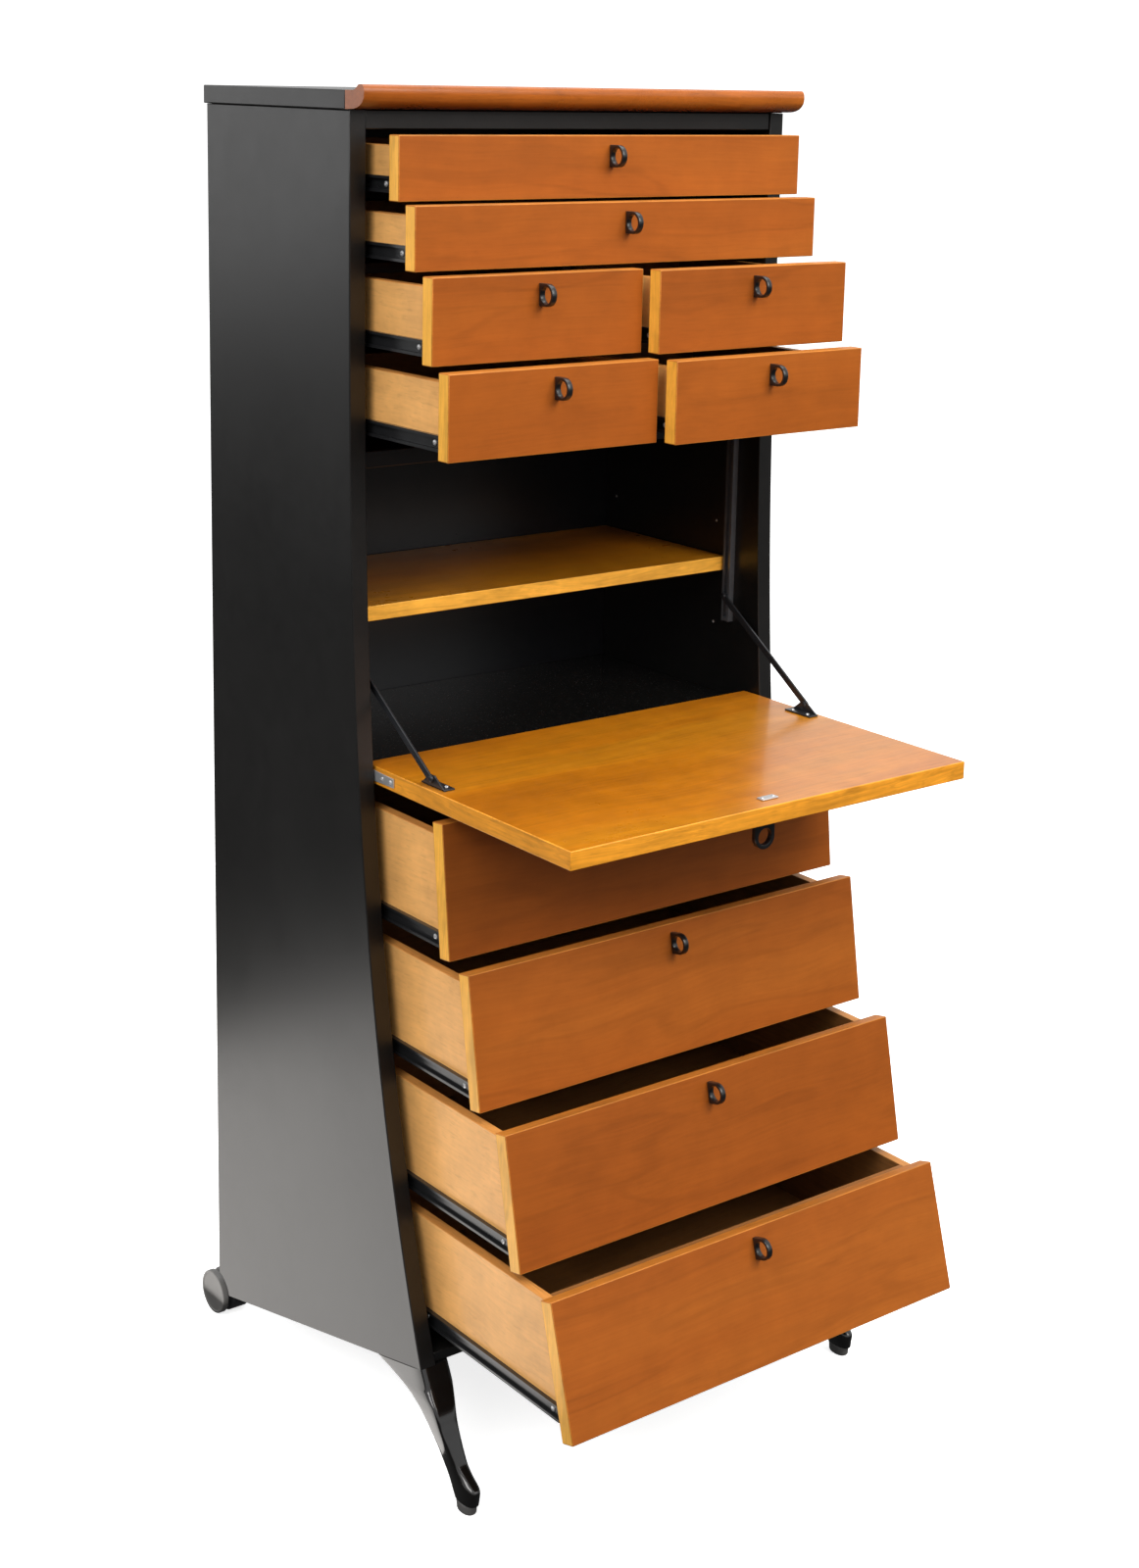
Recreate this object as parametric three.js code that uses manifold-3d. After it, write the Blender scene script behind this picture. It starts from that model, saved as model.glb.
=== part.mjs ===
// A tall flared chest: black cabinet, drop-down writing flap, ten drawers, front legs and rear rollers.
// Millimetres, +Z up. The front faces -Y and +X is to the right of someone facing the cabinet.
// The origin is on the floor, under the middle of the whole chest as it stands, drawers and flap open.
import * as THREE from 'three';
import { mergeVertices } from 'three/addons/utils/BufferGeometryUtils.js';
import Module from 'manifold-3d';

const wasm = await Module();
wasm.setup();

// ---- Driving dimensions -------------------------------------------------------------------------

const GAP = 0.3; // left between pieces that touch
const WIDTH = 600; // over the side panels
const PANEL = 20; // side panel thickness
const PANEL_TOP = 1488.5;
const BACK = 296; // rear edge of the side panels; y = 0 is their straight front edge
const PANEL_REAR_BOTTOM = 38; // height of the side panels' lower rear corner
const FLARE = 147.5; // how far the front edge sweeps forward at the bottom
const FLARE_TOP = 1390; // height where the sweep begins
const FLARE_BOTTOM = 144.8; // height of the side panels' lower front corner
const FLARE_POWER = 2.8;
const INSIDE = WIDTH / 2 - PANEL; // half the clear width between the side panels
const SIDE_GAP = 4; // between a front and the side panel
const BOARD = 18; // fronts and inner boards
const INNER_FRONT = 21; // front edge of the fixed boards behind the fronts
const BACK_PANEL = 6;
const BACK_INNER = BACK - 2 - BACK_PANEL; // inner face of the back panel

const TOP_BOARD = 20;
const TOP_OVERHANG = 3;
const TOP_REAR_OVERHANG = 2;
const TOP_FRONT = 4.3; // front edge of the top board, behind the moulding
const RAIL_HEIGHT = 19;

const FLAP = { back: 3.7, length: 365.6, top: 792.3, thickness: 20, pivotY: -12 };
const FLAP_CLEARANCE = 5; // between the open flap's rear edge and the compartment floor
const FLOOR_TOP = 780;
const FLOOR_BOARD = 16;
const CEILING_TOP = 1130;
const DIVIDER_BOARD = { bottom: 1319.3, top: 1330.7 };
const CENTRE_DIVIDER = 12;
const SHELF = { top: 952.5, thickness: 17, front: 50, sideGap: 2 };
const BOTTOM_BOARD = { bottom: 145.2, top: 156.7 };

const HALF_GAP = 5; // between the two fronts of a divided row
const BOX_WALL = 12;
const BOX_BOTTOM = 10;
const BOX_SIDE = 267; // outside of a drawer box from the centre line
const BOX_MIDDLE = 18.5; // the same at the centre divider
const BOX_REAR = 279; // rear of every closed box
const RUNNER = { width: 5, height: 17 };
const UPPER_BOX = { above: 8, below: 11 }; // box clear of the bottom and top of its front
const LOWER_BOX_HEIGHT = 121;

const HANDLE = { height: 24, reach: 23.5, thickness: 6.5, hole: 9, eye: 11.6, inset: 22 };
const FLAP_HANDLE = { height: 27, reach: 36, thickness: 6.5, hole: 9.3, eye: 22, inset: 25.5 };

const ROLLER = { radius: 27, groove: 23, bore: 6.5, boreEnd: 285, y: 320, outer: 296, inner: 258 };
const NOTCH = { radius: 30.6, y: 302, z: 36 }; // cut out of the side panels' lower rear corners
const AXLE_RADIUS = 6;

const STAY = { pivotY: -112, pivotZ: 801.3, slideY: 41, slideZ: 904.6, width: 8, plate: 2.5 };
const TRACK = { bottom: 873, top: 1109, width: 13, depth: 7.7, slot: 7, slotDepth: 5.5 };
const FOOT_PAD = 12;

// Upper drawers: heights of the front's edges, how far each stands open, and which half it fills.
const UPPER_DRAWERS = [
  { name: 'drawer_1', bottom: 1398.1, top: 1465.1, open: 54.8, half: 0 },
  { name: 'drawer_2', bottom: 1329.2, top: 1395.9, open: 85.1, half: 0 },
  { name: 'drawer_3_left', bottom: 1236.3, top: 1326.4, open: 117, half: -1 },
  { name: 'drawer_3_right', bottom: 1236.3, top: 1326.4, open: 140, half: 1 },
  { name: 'drawer_4_left', bottom: 1142.1, top: 1232.3, open: 147, half: -1 },
  { name: 'drawer_4_right', bottom: 1142.1, top: 1232.3, open: 171.5, half: 1 },
];

// Lower drawers: the same, but their fronts lean (degrees) and boxBottom is the underside of the box.
const LOWER_DRAWERS = [
  { name: 'drawer_5', bottom: 613.8, top: 761.1, open: 121.6, lean: 6.2, boxBottom: 621 },
  { name: 'drawer_6', bottom: 464.9, top: 609.9, open: 153.8, lean: 9.4, boxBottom: 472 },
  { name: 'drawer_7', bottom: 314.3, top: 457.7, open: 196.8, lean: 11.9, boxBottom: 324.3 },
  { name: 'drawer_8', bottom: 165.8, top: 306.9, open: 244.8, lean: 16.5, boxBottom: 176.7 },
];

// The front leg from its toe up: height, then front, rear, outer and inner limits of the section.
const LEG_SECTIONS = [
  { z: 12.3, front: -225, rear: -190.5, outer: 288, inner: 270.5 },
  { z: 20, front: -226, rear: -185.5, outer: 288.3, inner: 269.5 },
  { z: 30, front: -226.5, rear: -179.5, outer: 288.7, inner: 269.5 },
  { z: 38, front: -215.5, rear: -175.5, outer: 289.3, inner: 270 },
  { z: 48, front: -203.5, rear: -172.5, outer: 290.6, inner: 270.8 },
  { z: 60, front: -196, rear: -169, outer: 292.7, inner: 271.5 },
  { z: 75, front: -188.7, rear: -160.5, outer: 295.3, inner: 272 },
  { z: 88, front: -182, rear: -150.5, outer: 297.2, inner: 271.5 },
  { z: 99, front: -177.3, rear: -139.2, outer: 298.7, inner: 270.5 },
  { z: 108, front: -172.2, rear: -123.5, outer: 299.5, inner: 268 },
  { z: 114, front: -166.8, rear: -106, outer: 299.9, inner: 265 },
  { z: 120, front: -161.4, rear: -78, outer: 299.9, inner: 262 },
  { z: 126, front: -157, rear: -51, outer: 299.9, inner: 260 },
  { z: 147, front: -146, rear: -46, outer: 299.9, inner: 260 },
];

// ---- Finishes -----------------------------------------------------------------------------------

const FINISHES = {
  blackSatin: { color: 0x1b1a1b, roughness: 0.4, metalness: 0 },
  blackGloss: { color: 0x0c0c0d, roughness: 0.15, metalness: 0 },
  blackMetal: { color: 0x17181a, roughness: 0.35, metalness: 0.3 },
  steel: { color: 0xb9bbbd, roughness: 0.3, metalness: 1 },
  cherry: { color: 0xb96a31, roughness: 0.35, metalness: 0 },
  beech: { color: 0xe2b070, roughness: 0.5, metalness: 0 },
  greyPlastic: { color: 0x5c5a58, roughness: 0.55, metalness: 0 },
};

const armoire = new THREE.Group();

function addPiece(name, geometry, finish, parent = armoire) {
  const mesh = new THREE.Mesh(geometry, new THREE.MeshStandardMaterial(FINISHES[finish]));
  mesh.name = name;
  parent.add(mesh);
  return mesh;
}

// ---- Shape helpers ------------------------------------------------------------------------------

function block(x0, x1, y0, y1, z0, z1) {
  const geometry = new THREE.BoxGeometry(x1 - x0, y1 - y0, z1 - z0);
  geometry.translate((x0 + x1) / 2, (y0 + y1) / 2, (z0 + z1) / 2);
  return geometry;
}

// An outline drawn in (y, z) and given a thickness along X, from x0 to x1.
function plateAcross(shape, x0, x1, curveSegments = 12) {
  const geometry = new THREE.ExtrudeGeometry(shape, { depth: x1 - x0, bevelEnabled: false, curveSegments });
  const axes = new THREE.Matrix4().makeBasis(
    new THREE.Vector3(0, 1, 0),
    new THREE.Vector3(0, 0, 1),
    new THREE.Vector3(1, 0, 0),
  );
  geometry.applyMatrix4(axes);
  geometry.translate(x0, 0, 0);
  return geometry;
}

function outline(points) {
  return new THREE.Shape(points.map(([y, z]) => new THREE.Vector2(y, z)));
}

function cylinderAcross(radius, x0, x1, y, z, segments = 24) {
  const geometry = new THREE.CylinderGeometry(radius, radius, x1 - x0, segments);
  geometry.rotateZ(Math.PI / 2);
  geometry.translate((x0 + x1) / 2, y, z);
  return geometry;
}

function toSolid(geometry) {
  const bare = geometry.index ? geometry.toNonIndexed() : geometry.clone();
  bare.deleteAttribute('normal');
  bare.deleteAttribute('uv');
  const merged = mergeVertices(bare, 1e-4);
  return new wasm.Manifold(
    new wasm.Mesh({
      numProp: 3,
      vertProperties: new Float32Array(merged.attributes.position.array),
      triVerts: new Uint32Array(merged.index.array),
    }),
  );
}

function toGeometry(solid) {
  const mesh = solid.getMesh();
  const geometry = new THREE.BufferGeometry();
  geometry.setAttribute('position', new THREE.BufferAttribute(new Float32Array(mesh.vertProperties), 3));
  geometry.setIndex(new THREE.BufferAttribute(new Uint32Array(mesh.triVerts), 1));
  geometry.computeVertexNormals();
  return geometry;
}

function cut(geometry, ...tools) {
  return toGeometry(tools.reduce((solid, tool) => solid.subtract(toSolid(tool)), toSolid(geometry)));
}

function join(...geometries) {
  return toGeometry(geometries.map(toSolid).reduce((sum, solid) => sum.add(solid)));
}

// A closed skin over rings of points, all with the same count, from the lowest ring to the highest.
function loft(rings) {
  const count = rings[0].length;
  const positions = rings.flat().flatMap((point) => [point.x, point.y, point.z]);
  const faces = [];
  for (let level = 0; level < rings.length - 1; level += 1) {
    for (let step = 0; step < count; step += 1) {
      const here = level * count + step;
      const next = level * count + ((step + 1) % count);
      faces.push(here, next, next + count, here, next + count, here + count);
    }
  }
  const last = (rings.length - 1) * count;
  for (let step = 1; step < count - 1; step += 1) {
    faces.push(0, step + 1, step);
    faces.push(last, last + step, last + step + 1);
  }
  const geometry = new THREE.BufferGeometry();
  geometry.setAttribute('position', new THREE.Float32BufferAttribute(positions, 3));
  geometry.setIndex(faces);
  geometry.computeVertexNormals();
  return geometry;
}

// A ring with soft corners; power 2 is an ellipse, larger powers come closer to a rectangle.
function softRectangle(centre, halfX, halfY, power, count = 20) {
  const ring = [];
  for (let step = 0; step < count; step += 1) {
    const angle = ((step + 0.5) / count) * Math.PI * 2;
    const across = Math.cos(angle);
    const along = Math.sin(angle);
    ring.push(
      new THREE.Vector3(
        centre.x + halfX * Math.sign(across) * Math.abs(across) ** (2 / power),
        centre.y + halfY * Math.sign(along) * Math.abs(along) ** (2 / power),
        centre.z,
      ),
    );
  }
  return ring;
}

// ---- The cabinet --------------------------------------------------------------------------------

// y of the side panels' front edge at a given height.
function frontEdge(z) {
  const below = Math.max(0, (FLARE_TOP - z) / (FLARE_TOP - FLARE_BOTTOM));
  return -FLARE * below ** FLARE_POWER;
}

const BOTTOM_SLOPE = (FLARE_BOTTOM - PANEL_REAR_BOTTOM) / (FLARE + BACK);

// z of the side panels' sloping bottom edge at a given y.
function bottomEdge(y) {
  return FLARE_BOTTOM - BOTTOM_SLOPE * (y + FLARE);
}

function sidePanelOutline() {
  const points = [[BACK, PANEL_REAR_BOTTOM], [BACK, PANEL_TOP], [0, PANEL_TOP]];
  const steps = 18;
  for (let step = 0; step <= steps; step += 1) {
    const z = FLARE_TOP + ((FLARE_BOTTOM - FLARE_TOP) * step) / steps;
    points.push([frontEdge(z), z]);
  }
  return outline(points);
}

function buildCabinet() {
  for (const [side, sign] of [['left', -1], ['right', 1]]) {
    const x0 = sign < 0 ? -WIDTH / 2 : INSIDE;
    const panel = plateAcross(sidePanelOutline(), x0, x0 + PANEL);
    const hollow = cylinderAcross(NOTCH.radius, x0 - 1, x0 + PANEL + 1, NOTCH.y, NOTCH.z, 32);
    addPiece(`side_panel_${side}`, cut(panel, hollow), 'blackSatin');
  }

  const inner = INSIDE - GAP;
  const topX = WIDTH / 2 + TOP_OVERHANG;
  const topZ = PANEL_TOP + GAP;
  addPiece('top_board', block(-topX, topX, TOP_FRONT, BACK + TOP_REAR_OVERHANG, topZ, topZ + TOP_BOARD), 'blackSatin');
  addPiece('top_moulding', plateAcross(mouldingOutline(), -topX, topX), 'cherry');
  addPiece(
    'top_rail',
    block(-inner, inner, 2, 2 + BOARD, PANEL_TOP - RAIL_HEIGHT, PANEL_TOP),
    'blackSatin',
  );
  addPiece(
    'back_panel',
    block(-inner, inner, BACK_INNER, BACK_INNER + BACK_PANEL, ROLLER.radius * 2 + 12, PANEL_TOP),
    'blackSatin',
  );

  const boardBack = BACK_INNER - GAP;
  const bottomFront = frontEdge(BOTTOM_BOARD.bottom) + 4;
  addPiece(
    'bottom_board',
    block(-inner, inner, bottomFront, boardBack, BOTTOM_BOARD.bottom, BOTTOM_BOARD.top),
    'blackSatin',
  );
  const floorFront = FLAP.back + FLAP_CLEARANCE;
  addPiece(
    'compartment_floor',
    block(-inner, inner, floorFront, boardBack, FLOOR_TOP - FLOOR_BOARD, FLOOR_TOP),
    'blackGloss',
  );
  addPiece(
    'compartment_ceiling',
    block(-inner, inner, INNER_FRONT, boardBack, CEILING_TOP - BOARD, CEILING_TOP),
    'blackSatin',
  );
  addPiece(
    'divider_board',
    block(-inner, inner, INNER_FRONT, boardBack, DIVIDER_BOARD.bottom, DIVIDER_BOARD.top),
    'blackSatin',
  );
  const half = CENTRE_DIVIDER / 2;
  addPiece(
    'centre_divider',
    block(-half, half, INNER_FRONT, boardBack, CEILING_TOP + GAP, DIVIDER_BOARD.bottom - GAP),
    'blackSatin',
  );
  const shelfX = INSIDE - SHELF.sideGap;
  addPiece(
    'shelf',
    block(-shelfX, shelfX, SHELF.front, boardBack - 1, SHELF.top - SHELF.thickness, SHELF.top),
    'cherry',
  );
}

// The moulding's section: flat at the back, a hollow rising to a lip, then a full round front.
function mouldingOutline() {
  const back = TOP_FRONT - GAP;
  const bottom = PANEL_TOP + 1;
  const flat = bottom + 19.3;
  const shape = new THREE.Shape();
  shape.moveTo(back, bottom);
  shape.lineTo(back, flat);
  shape.lineTo(-11, flat);
  shape.quadraticCurveTo(-16, flat + 1, -20, bottom + 24.5);
  shape.quadraticCurveTo(-24, bottom + 26, -28, bottom + 25);
  shape.quadraticCurveTo(-33, bottom + 22, -31, bottom + 12);
  shape.quadraticCurveTo(-27, bottom + 3, -13, bottom + 0.8);
  shape.quadraticCurveTo(-6, bottom, back, bottom);
  return evenOutline(shape, 6);
}

// The same outline as plain points, so that every curve has the same number of steps.
function evenOutline(shape, divisions) {
  return new THREE.Shape(shape.extractPoints(divisions).shape);
}

// ---- Legs and rollers ---------------------------------------------------------------------------

function legRings(sign) {
  return LEG_SECTIONS.map(({ z, front, rear, outer, inner }) => {
    const squareness = z < 40 ? 2.5 : 2.5 + Math.min(4.5, (z - 40) / 14);
    const centre = new THREE.Vector3((sign * (outer + inner)) / 2, (front + rear) / 2, z);
    return softRectangle(centre, (outer - inner) / 2, (rear - front) / 2, squareness);
  });
}

function buildLegs() {
  const legReach = 10;
  for (const [side, sign] of [['left', -1], ['right', 1]]) {
    const y0 = LEG_SECTIONS.at(-1).front - legReach - 60;
    const y1 = LEG_SECTIONS.at(-1).rear + legReach;
    const abovePanel = outline([
      [y0, bottomEdge(y0) - GAP],
      [y1, bottomEdge(y1) - GAP],
      [y1, FLARE_BOTTOM + 60],
      [y0, FLARE_BOTTOM + 60],
    ]);
    const edge = INSIDE - GAP;
    const outerCut = sign < 0
      ? plateAcross(abovePanel, -WIDTH / 2 - legReach, -edge)
      : plateAcross(abovePanel, edge, WIDTH / 2 + legReach);
    const underBoard = BOTTOM_BOARD.bottom - GAP;
    const innerCut = sign < 0
      ? block(-edge - 1, -200, y0, y1, underBoard, underBoard + 60)
      : block(200, edge + 1, y0, y1, underBoard, underBoard + 60);
    addPiece(`front_leg_${side}`, cut(loft(legRings(sign)), outerCut, innerCut), 'blackGloss');

    const toe = LEG_SECTIONS[0];
    const padX = (sign * (toe.outer + toe.inner)) / 2;
    const padY = (toe.front + toe.rear) / 2;
    const padRings = [[0, 7.6, 12], [2, 8.4, 13.4], [FOOT_PAD, 9, 14.6]].map(([z, halfX, halfY]) =>
      softRectangle(new THREE.Vector3(padX, padY, z), halfX, halfY, 2.3));
    addPiece(`foot_pad_${side}`, loft(padRings), 'greyPlastic');
  }
}

// A grooved roller with a blind bore; its closed end faces out.
function rollerGeometry(sign) {
  const { radius, groove, bore, boreEnd, outer, inner } = ROLLER;
  const profile = [
    [0, boreEnd],
    [bore, boreEnd],
    [bore, inner],
    [radius - 1, inner],
    [radius, inner + 1],
    [radius, outer - 16],
    [groove, outer - 14.5],
    [groove, outer - 9],
    [radius, outer - 7.5],
    [radius, outer - 1.2],
    [radius - 1.2, outer],
    [0, outer],
  ];
  const geometry = new THREE.LatheGeometry(profile.map(([r, along]) => new THREE.Vector2(r, along)), 32);
  geometry.rotateZ((-sign * Math.PI) / 2);
  geometry.translate(0, ROLLER.y, ROLLER.radius);
  return geometry;
}

// The axle rod, welded through two hanger plates that are screwed to the side panels.
function rearAxleGeometry() {
  const reach = ROLLER.boreEnd - 2;
  const wall = INSIDE - GAP;
  const plateOuter = ROLLER.inner - GAP;
  const plateInner = plateOuter - 5;
  const plate = outline([
    [252, 116],
    [280, 116],
    [280, 61],
    [ROLLER.y + 11, 44],
    [ROLLER.y + 11, 15],
    [ROLLER.y - 11, 15],
    [256, 58],
    [252, 70],
  ]);
  const hangers = [-1, 1].flatMap((sign) => {
    const [x0, x1] = sign < 0 ? [-plateOuter, -plateInner] : [plateInner, plateOuter];
    const [w0, w1] = sign < 0 ? [-wall, -plateInner] : [plateInner, wall];
    return [plateAcross(plate, x0, x1), block(w0, w1, 254, 278, 80, 114)];
  });
  return join(cylinderAcross(AXLE_RADIUS, -reach, reach, ROLLER.y, ROLLER.radius, 20), ...hangers);
}

function buildRollers() {
  addPiece('rear_axle', rearAxleGeometry(), 'blackMetal');
  addPiece('rear_roller_left', rollerGeometry(-1), 'greyPlastic');
  addPiece('rear_roller_right', rollerGeometry(1), 'greyPlastic');
}

// ---- Handles ------------------------------------------------------------------------------------

// A D-shaped ring: flat against the front at y = 0, round towards -y, its eye running along X.
function handleGeometry({ height, reach, thickness, hole, eye }) {
  const round = height / 2;
  const shape = new THREE.Shape();
  shape.moveTo(0, -round);
  shape.lineTo(0, round);
  shape.lineTo(round - reach, round);
  shape.absarc(round - reach, 0, round, Math.PI / 2, Math.PI * 1.5, false);
  const opening = new THREE.Path();
  opening.absarc(-eye, 0, hole, 0, Math.PI * 2, true);
  shape.holes.push(opening);
  return plateAcross(shape, -thickness / 2, thickness / 2, 14);
}

// ---- Drawers ------------------------------------------------------------------------------------

// Where the top front edge of a drawer's front stands now.
function frontTopY(drawer) {
  return (drawer.lean ? frontEdge(drawer.top) : 0) - drawer.open;
}

function addFrontAndHandle(drawer, x0, x1) {
  const lean = THREE.MathUtils.degToRad(drawer.lean ?? 0);
  const length = (drawer.top - drawer.bottom) / Math.cos(lean);
  const leaning = new THREE.Group();
  leaning.position.set(0, frontTopY(drawer), drawer.top);
  leaning.rotation.x = -lean;
  armoire.add(leaning);
  addPiece(`${drawer.name}_front`, block(x0, x1, 0, BOARD, -length, 0), 'cherry', leaning);
  const handle = addPiece(`${drawer.name}_handle`, handleGeometry(HANDLE), 'blackGloss', leaning);
  handle.position.set((x0 + x1) / 2, -GAP, -HANDLE.inset);
}

// The box behind a front: open at the top, its front end cut to the front's lean, with a runner
// member along the foot of each side. rearFace(z) is the y of the front's back face at height z.
function boxGeometry(x0, x1, z0, z1, rearFace, rear) {
  const tall = z1 + 5;
  const outer = plateAcross(
    outline([[rearFace(z0) + GAP, z0], [rear, z0], [rear, z1], [rearFace(z1) + GAP, z1]]),
    x0,
    x1,
  );
  const floor = z0 + BOX_BOTTOM;
  const hollow = plateAcross(
    outline([
      [rearFace(floor) + BOX_WALL, floor],
      [rear - BOX_WALL, floor],
      [rear - BOX_WALL, tall],
      [rearFace(tall) + BOX_WALL, tall],
    ]),
    x0 + BOX_WALL,
    x1 - BOX_WALL,
  );
  const member = outline([
    [rearFace(z0) + 2, z0],
    [rear, z0],
    [rear, z0 + RUNNER.height],
    [rearFace(z0 + RUNNER.height) + 2, z0 + RUNNER.height],
  ]);
  const left = plateAcross(member, x0 - RUNNER.width, x0 + 1);
  const right = plateAcross(member, x1 - 1, x1 + RUNNER.width);
  return cut(join(outer, left, right), hollow);
}

function buildDrawers() {
  const reach = INSIDE - SIDE_GAP;
  for (const drawer of UPPER_DRAWERS) {
    const x0 = drawer.half > 0 ? HALF_GAP / 2 : -reach;
    const x1 = drawer.half < 0 ? -HALF_GAP / 2 : reach;
    addFrontAndHandle(drawer, x0, x1);
    const boxLeft = drawer.half > 0 ? BOX_MIDDLE : -BOX_SIDE;
    const boxRight = drawer.half < 0 ? -BOX_MIDDLE : BOX_SIDE;
    const rearFace = () => BOARD - drawer.open;
    const box = boxGeometry(
      boxLeft,
      boxRight,
      drawer.bottom + UPPER_BOX.above,
      drawer.top - UPPER_BOX.below,
      rearFace,
      BOX_REAR - drawer.open,
    );
    addPiece(`${drawer.name}_box`, box, 'beech');
  }
  for (const drawer of LOWER_DRAWERS) {
    addFrontAndHandle(drawer, -reach, reach);
    const lean = THREE.MathUtils.degToRad(drawer.lean);
    const backAtTop = frontTopY(drawer) + BOARD / Math.cos(lean);
    const rearFace = (z) => backAtTop - (drawer.top - z) * Math.tan(lean);
    const box = boxGeometry(
      -BOX_SIDE,
      BOX_SIDE,
      drawer.boxBottom,
      drawer.boxBottom + LOWER_BOX_HEIGHT,
      rearFace,
      BOX_REAR - drawer.open,
    );
    addPiece(`${drawer.name}_box`, box, 'beech');
  }
}

// ---- Flap, hinge plates and stays ---------------------------------------------------------------

function buildFlap() {
  const reach = INSIDE - SIDE_GAP;
  const front = FLAP.back - FLAP.length;
  const underside = FLAP.top - FLAP.thickness;
  const pivotZ = FLAP.top - FLAP.thickness / 2;
  addPiece('flap', block(-reach, reach, front, FLAP.back, underside, FLAP.top), 'cherry');

  const handle = addPiece('flap_handle', handleGeometry(FLAP_HANDLE), 'blackGloss');
  handle.rotation.order = 'ZXY';
  handle.rotation.set(Math.PI / 2, 0, Math.PI / 2);
  handle.position.set(0, front + FLAP_HANDLE.inset, underside - GAP);

  const catchPlate = block(-11, 11, front + 16, front + 26, FLAP.top + GAP, FLAP.top + 2);
  addPiece('flap_catch_plate', catchPlate, 'steel');

  for (const [side, sign] of [['left', -1], ['right', 1]]) {
    const near = reach + GAP;
    const far = near + 1.5;
    const leaf = new THREE.Shape();
    leaf.absarc(FLAP.pivotY, pivotZ, 6, -Math.PI / 2, Math.PI / 2, false);
    leaf.lineTo(-54, pivotZ + 5);
    leaf.lineTo(-54, pivotZ - 5);
    const x0 = sign < 0 ? -far : near;
    addPiece(`flap_hinge_plate_${side}`, plateAcross(leaf, x0, x0 + 1.5, 10), 'steel');
  }
}

// A folded bracket: an upright web that carries the arm's pivot, and a foot on the flap.
function stayBracketGeometry(sign) {
  const plate = 1.8;
  const base = FLAP.top + GAP;
  const webOutline = outline([
    [-92, base],
    [STAY.pivotY + 6, STAY.pivotZ + 4],
    [STAY.pivotY - 6, STAY.pivotZ + 4],
    [-135, base],
  ]);
  const x = 266;
  const web = sign < 0 ? plateAcross(webOutline, -x - plate, -x) : plateAcross(webOutline, x, x + plate);
  const foot = new THREE.Shape([
    new THREE.Vector2(sign * (x + plate), -135),
    new THREE.Vector2(sign * (x + plate), -92),
    new THREE.Vector2(sign * (x - 12), -92),
    new THREE.Vector2(sign * (x - 12), -135),
  ]);
  const footPlate = new THREE.ExtrudeGeometry(foot, { depth: plate, bevelEnabled: false });
  footPlate.translate(0, 0, base);
  return join(web, footPlate);
}

// A flat bar with round ends, from the bracket's pivot to the pin that slides in the track.
function stayArmGeometry(sign) {
  const run = STAY.slideY - STAY.pivotY;
  const rise = STAY.slideZ - STAY.pivotZ;
  const length = Math.hypot(run, rise);
  const half = STAY.width / 2;
  const bar = new THREE.Shape();
  bar.absarc(length, 0, half, -Math.PI / 2, Math.PI / 2, false);
  bar.absarc(0, 0, half, Math.PI / 2, Math.PI * 1.5, false);
  const x = 268.3;
  const geometry = sign < 0
    ? plateAcross(bar, -x - STAY.plate, -x, 8)
    : plateAcross(bar, x, x + STAY.plate, 8);
  geometry.rotateX(Math.atan2(rise, run));
  geometry.translate(0, STAY.pivotY, STAY.pivotZ);
  return geometry;
}

// A channel screwed to the side panel, its slot facing the middle of the cabinet.
function stayTrackGeometry(sign) {
  const wall = INSIDE - GAP;
  const y0 = STAY.slideY - TRACK.width / 2;
  const slot0 = STAY.slideY - TRACK.slot / 2;
  const face = wall - TRACK.depth;
  const deep = face + TRACK.slotDepth;
  const body = sign < 0
    ? block(-wall, -face, y0, y0 + TRACK.width, TRACK.bottom, TRACK.top)
    : block(face, wall, y0, y0 + TRACK.width, TRACK.bottom, TRACK.top);
  const slot = sign < 0
    ? block(-deep, -face + 1, slot0, slot0 + TRACK.slot, TRACK.bottom + 8, TRACK.top - 8)
    : block(face - 1, deep, slot0, slot0 + TRACK.slot, TRACK.bottom + 8, TRACK.top - 8);
  return cut(body, slot);
}

function buildStays() {
  for (const [side, sign] of [['left', -1], ['right', 1]]) {
    addPiece(`stay_bracket_${side}`, stayBracketGeometry(sign), 'blackMetal');
    addPiece(`stay_arm_${side}`, stayArmGeometry(sign), 'blackMetal');
    addPiece(`stay_track_${side}`, stayTrackGeometry(sign), 'blackMetal');
  }
}

buildCabinet();
buildLegs();
buildRollers();
buildDrawers();
buildFlap();
buildStays();

// Stand the origin under the middle of the depth.
const depth = new THREE.Box3().setFromObject(armoire, true);
armoire.position.y = -(depth.min.y + depth.max.y) / 2;

export default armoire;
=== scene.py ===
"""Finishes for a tall flared chest: black cabinet, drop-down writing flap, ten drawers, front legs, rear rollers.

Lengths in the builders are millimetres in the cabinet's own frame: x = 0 is the middle of the width, y = 0 the
straight front edge of the side panels, z = 0 the floor. TO_ROW carries a finished mesh into the shared frame.
"""

import math

import bmesh
import bpy
from mathutils import Matrix, Vector


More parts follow.
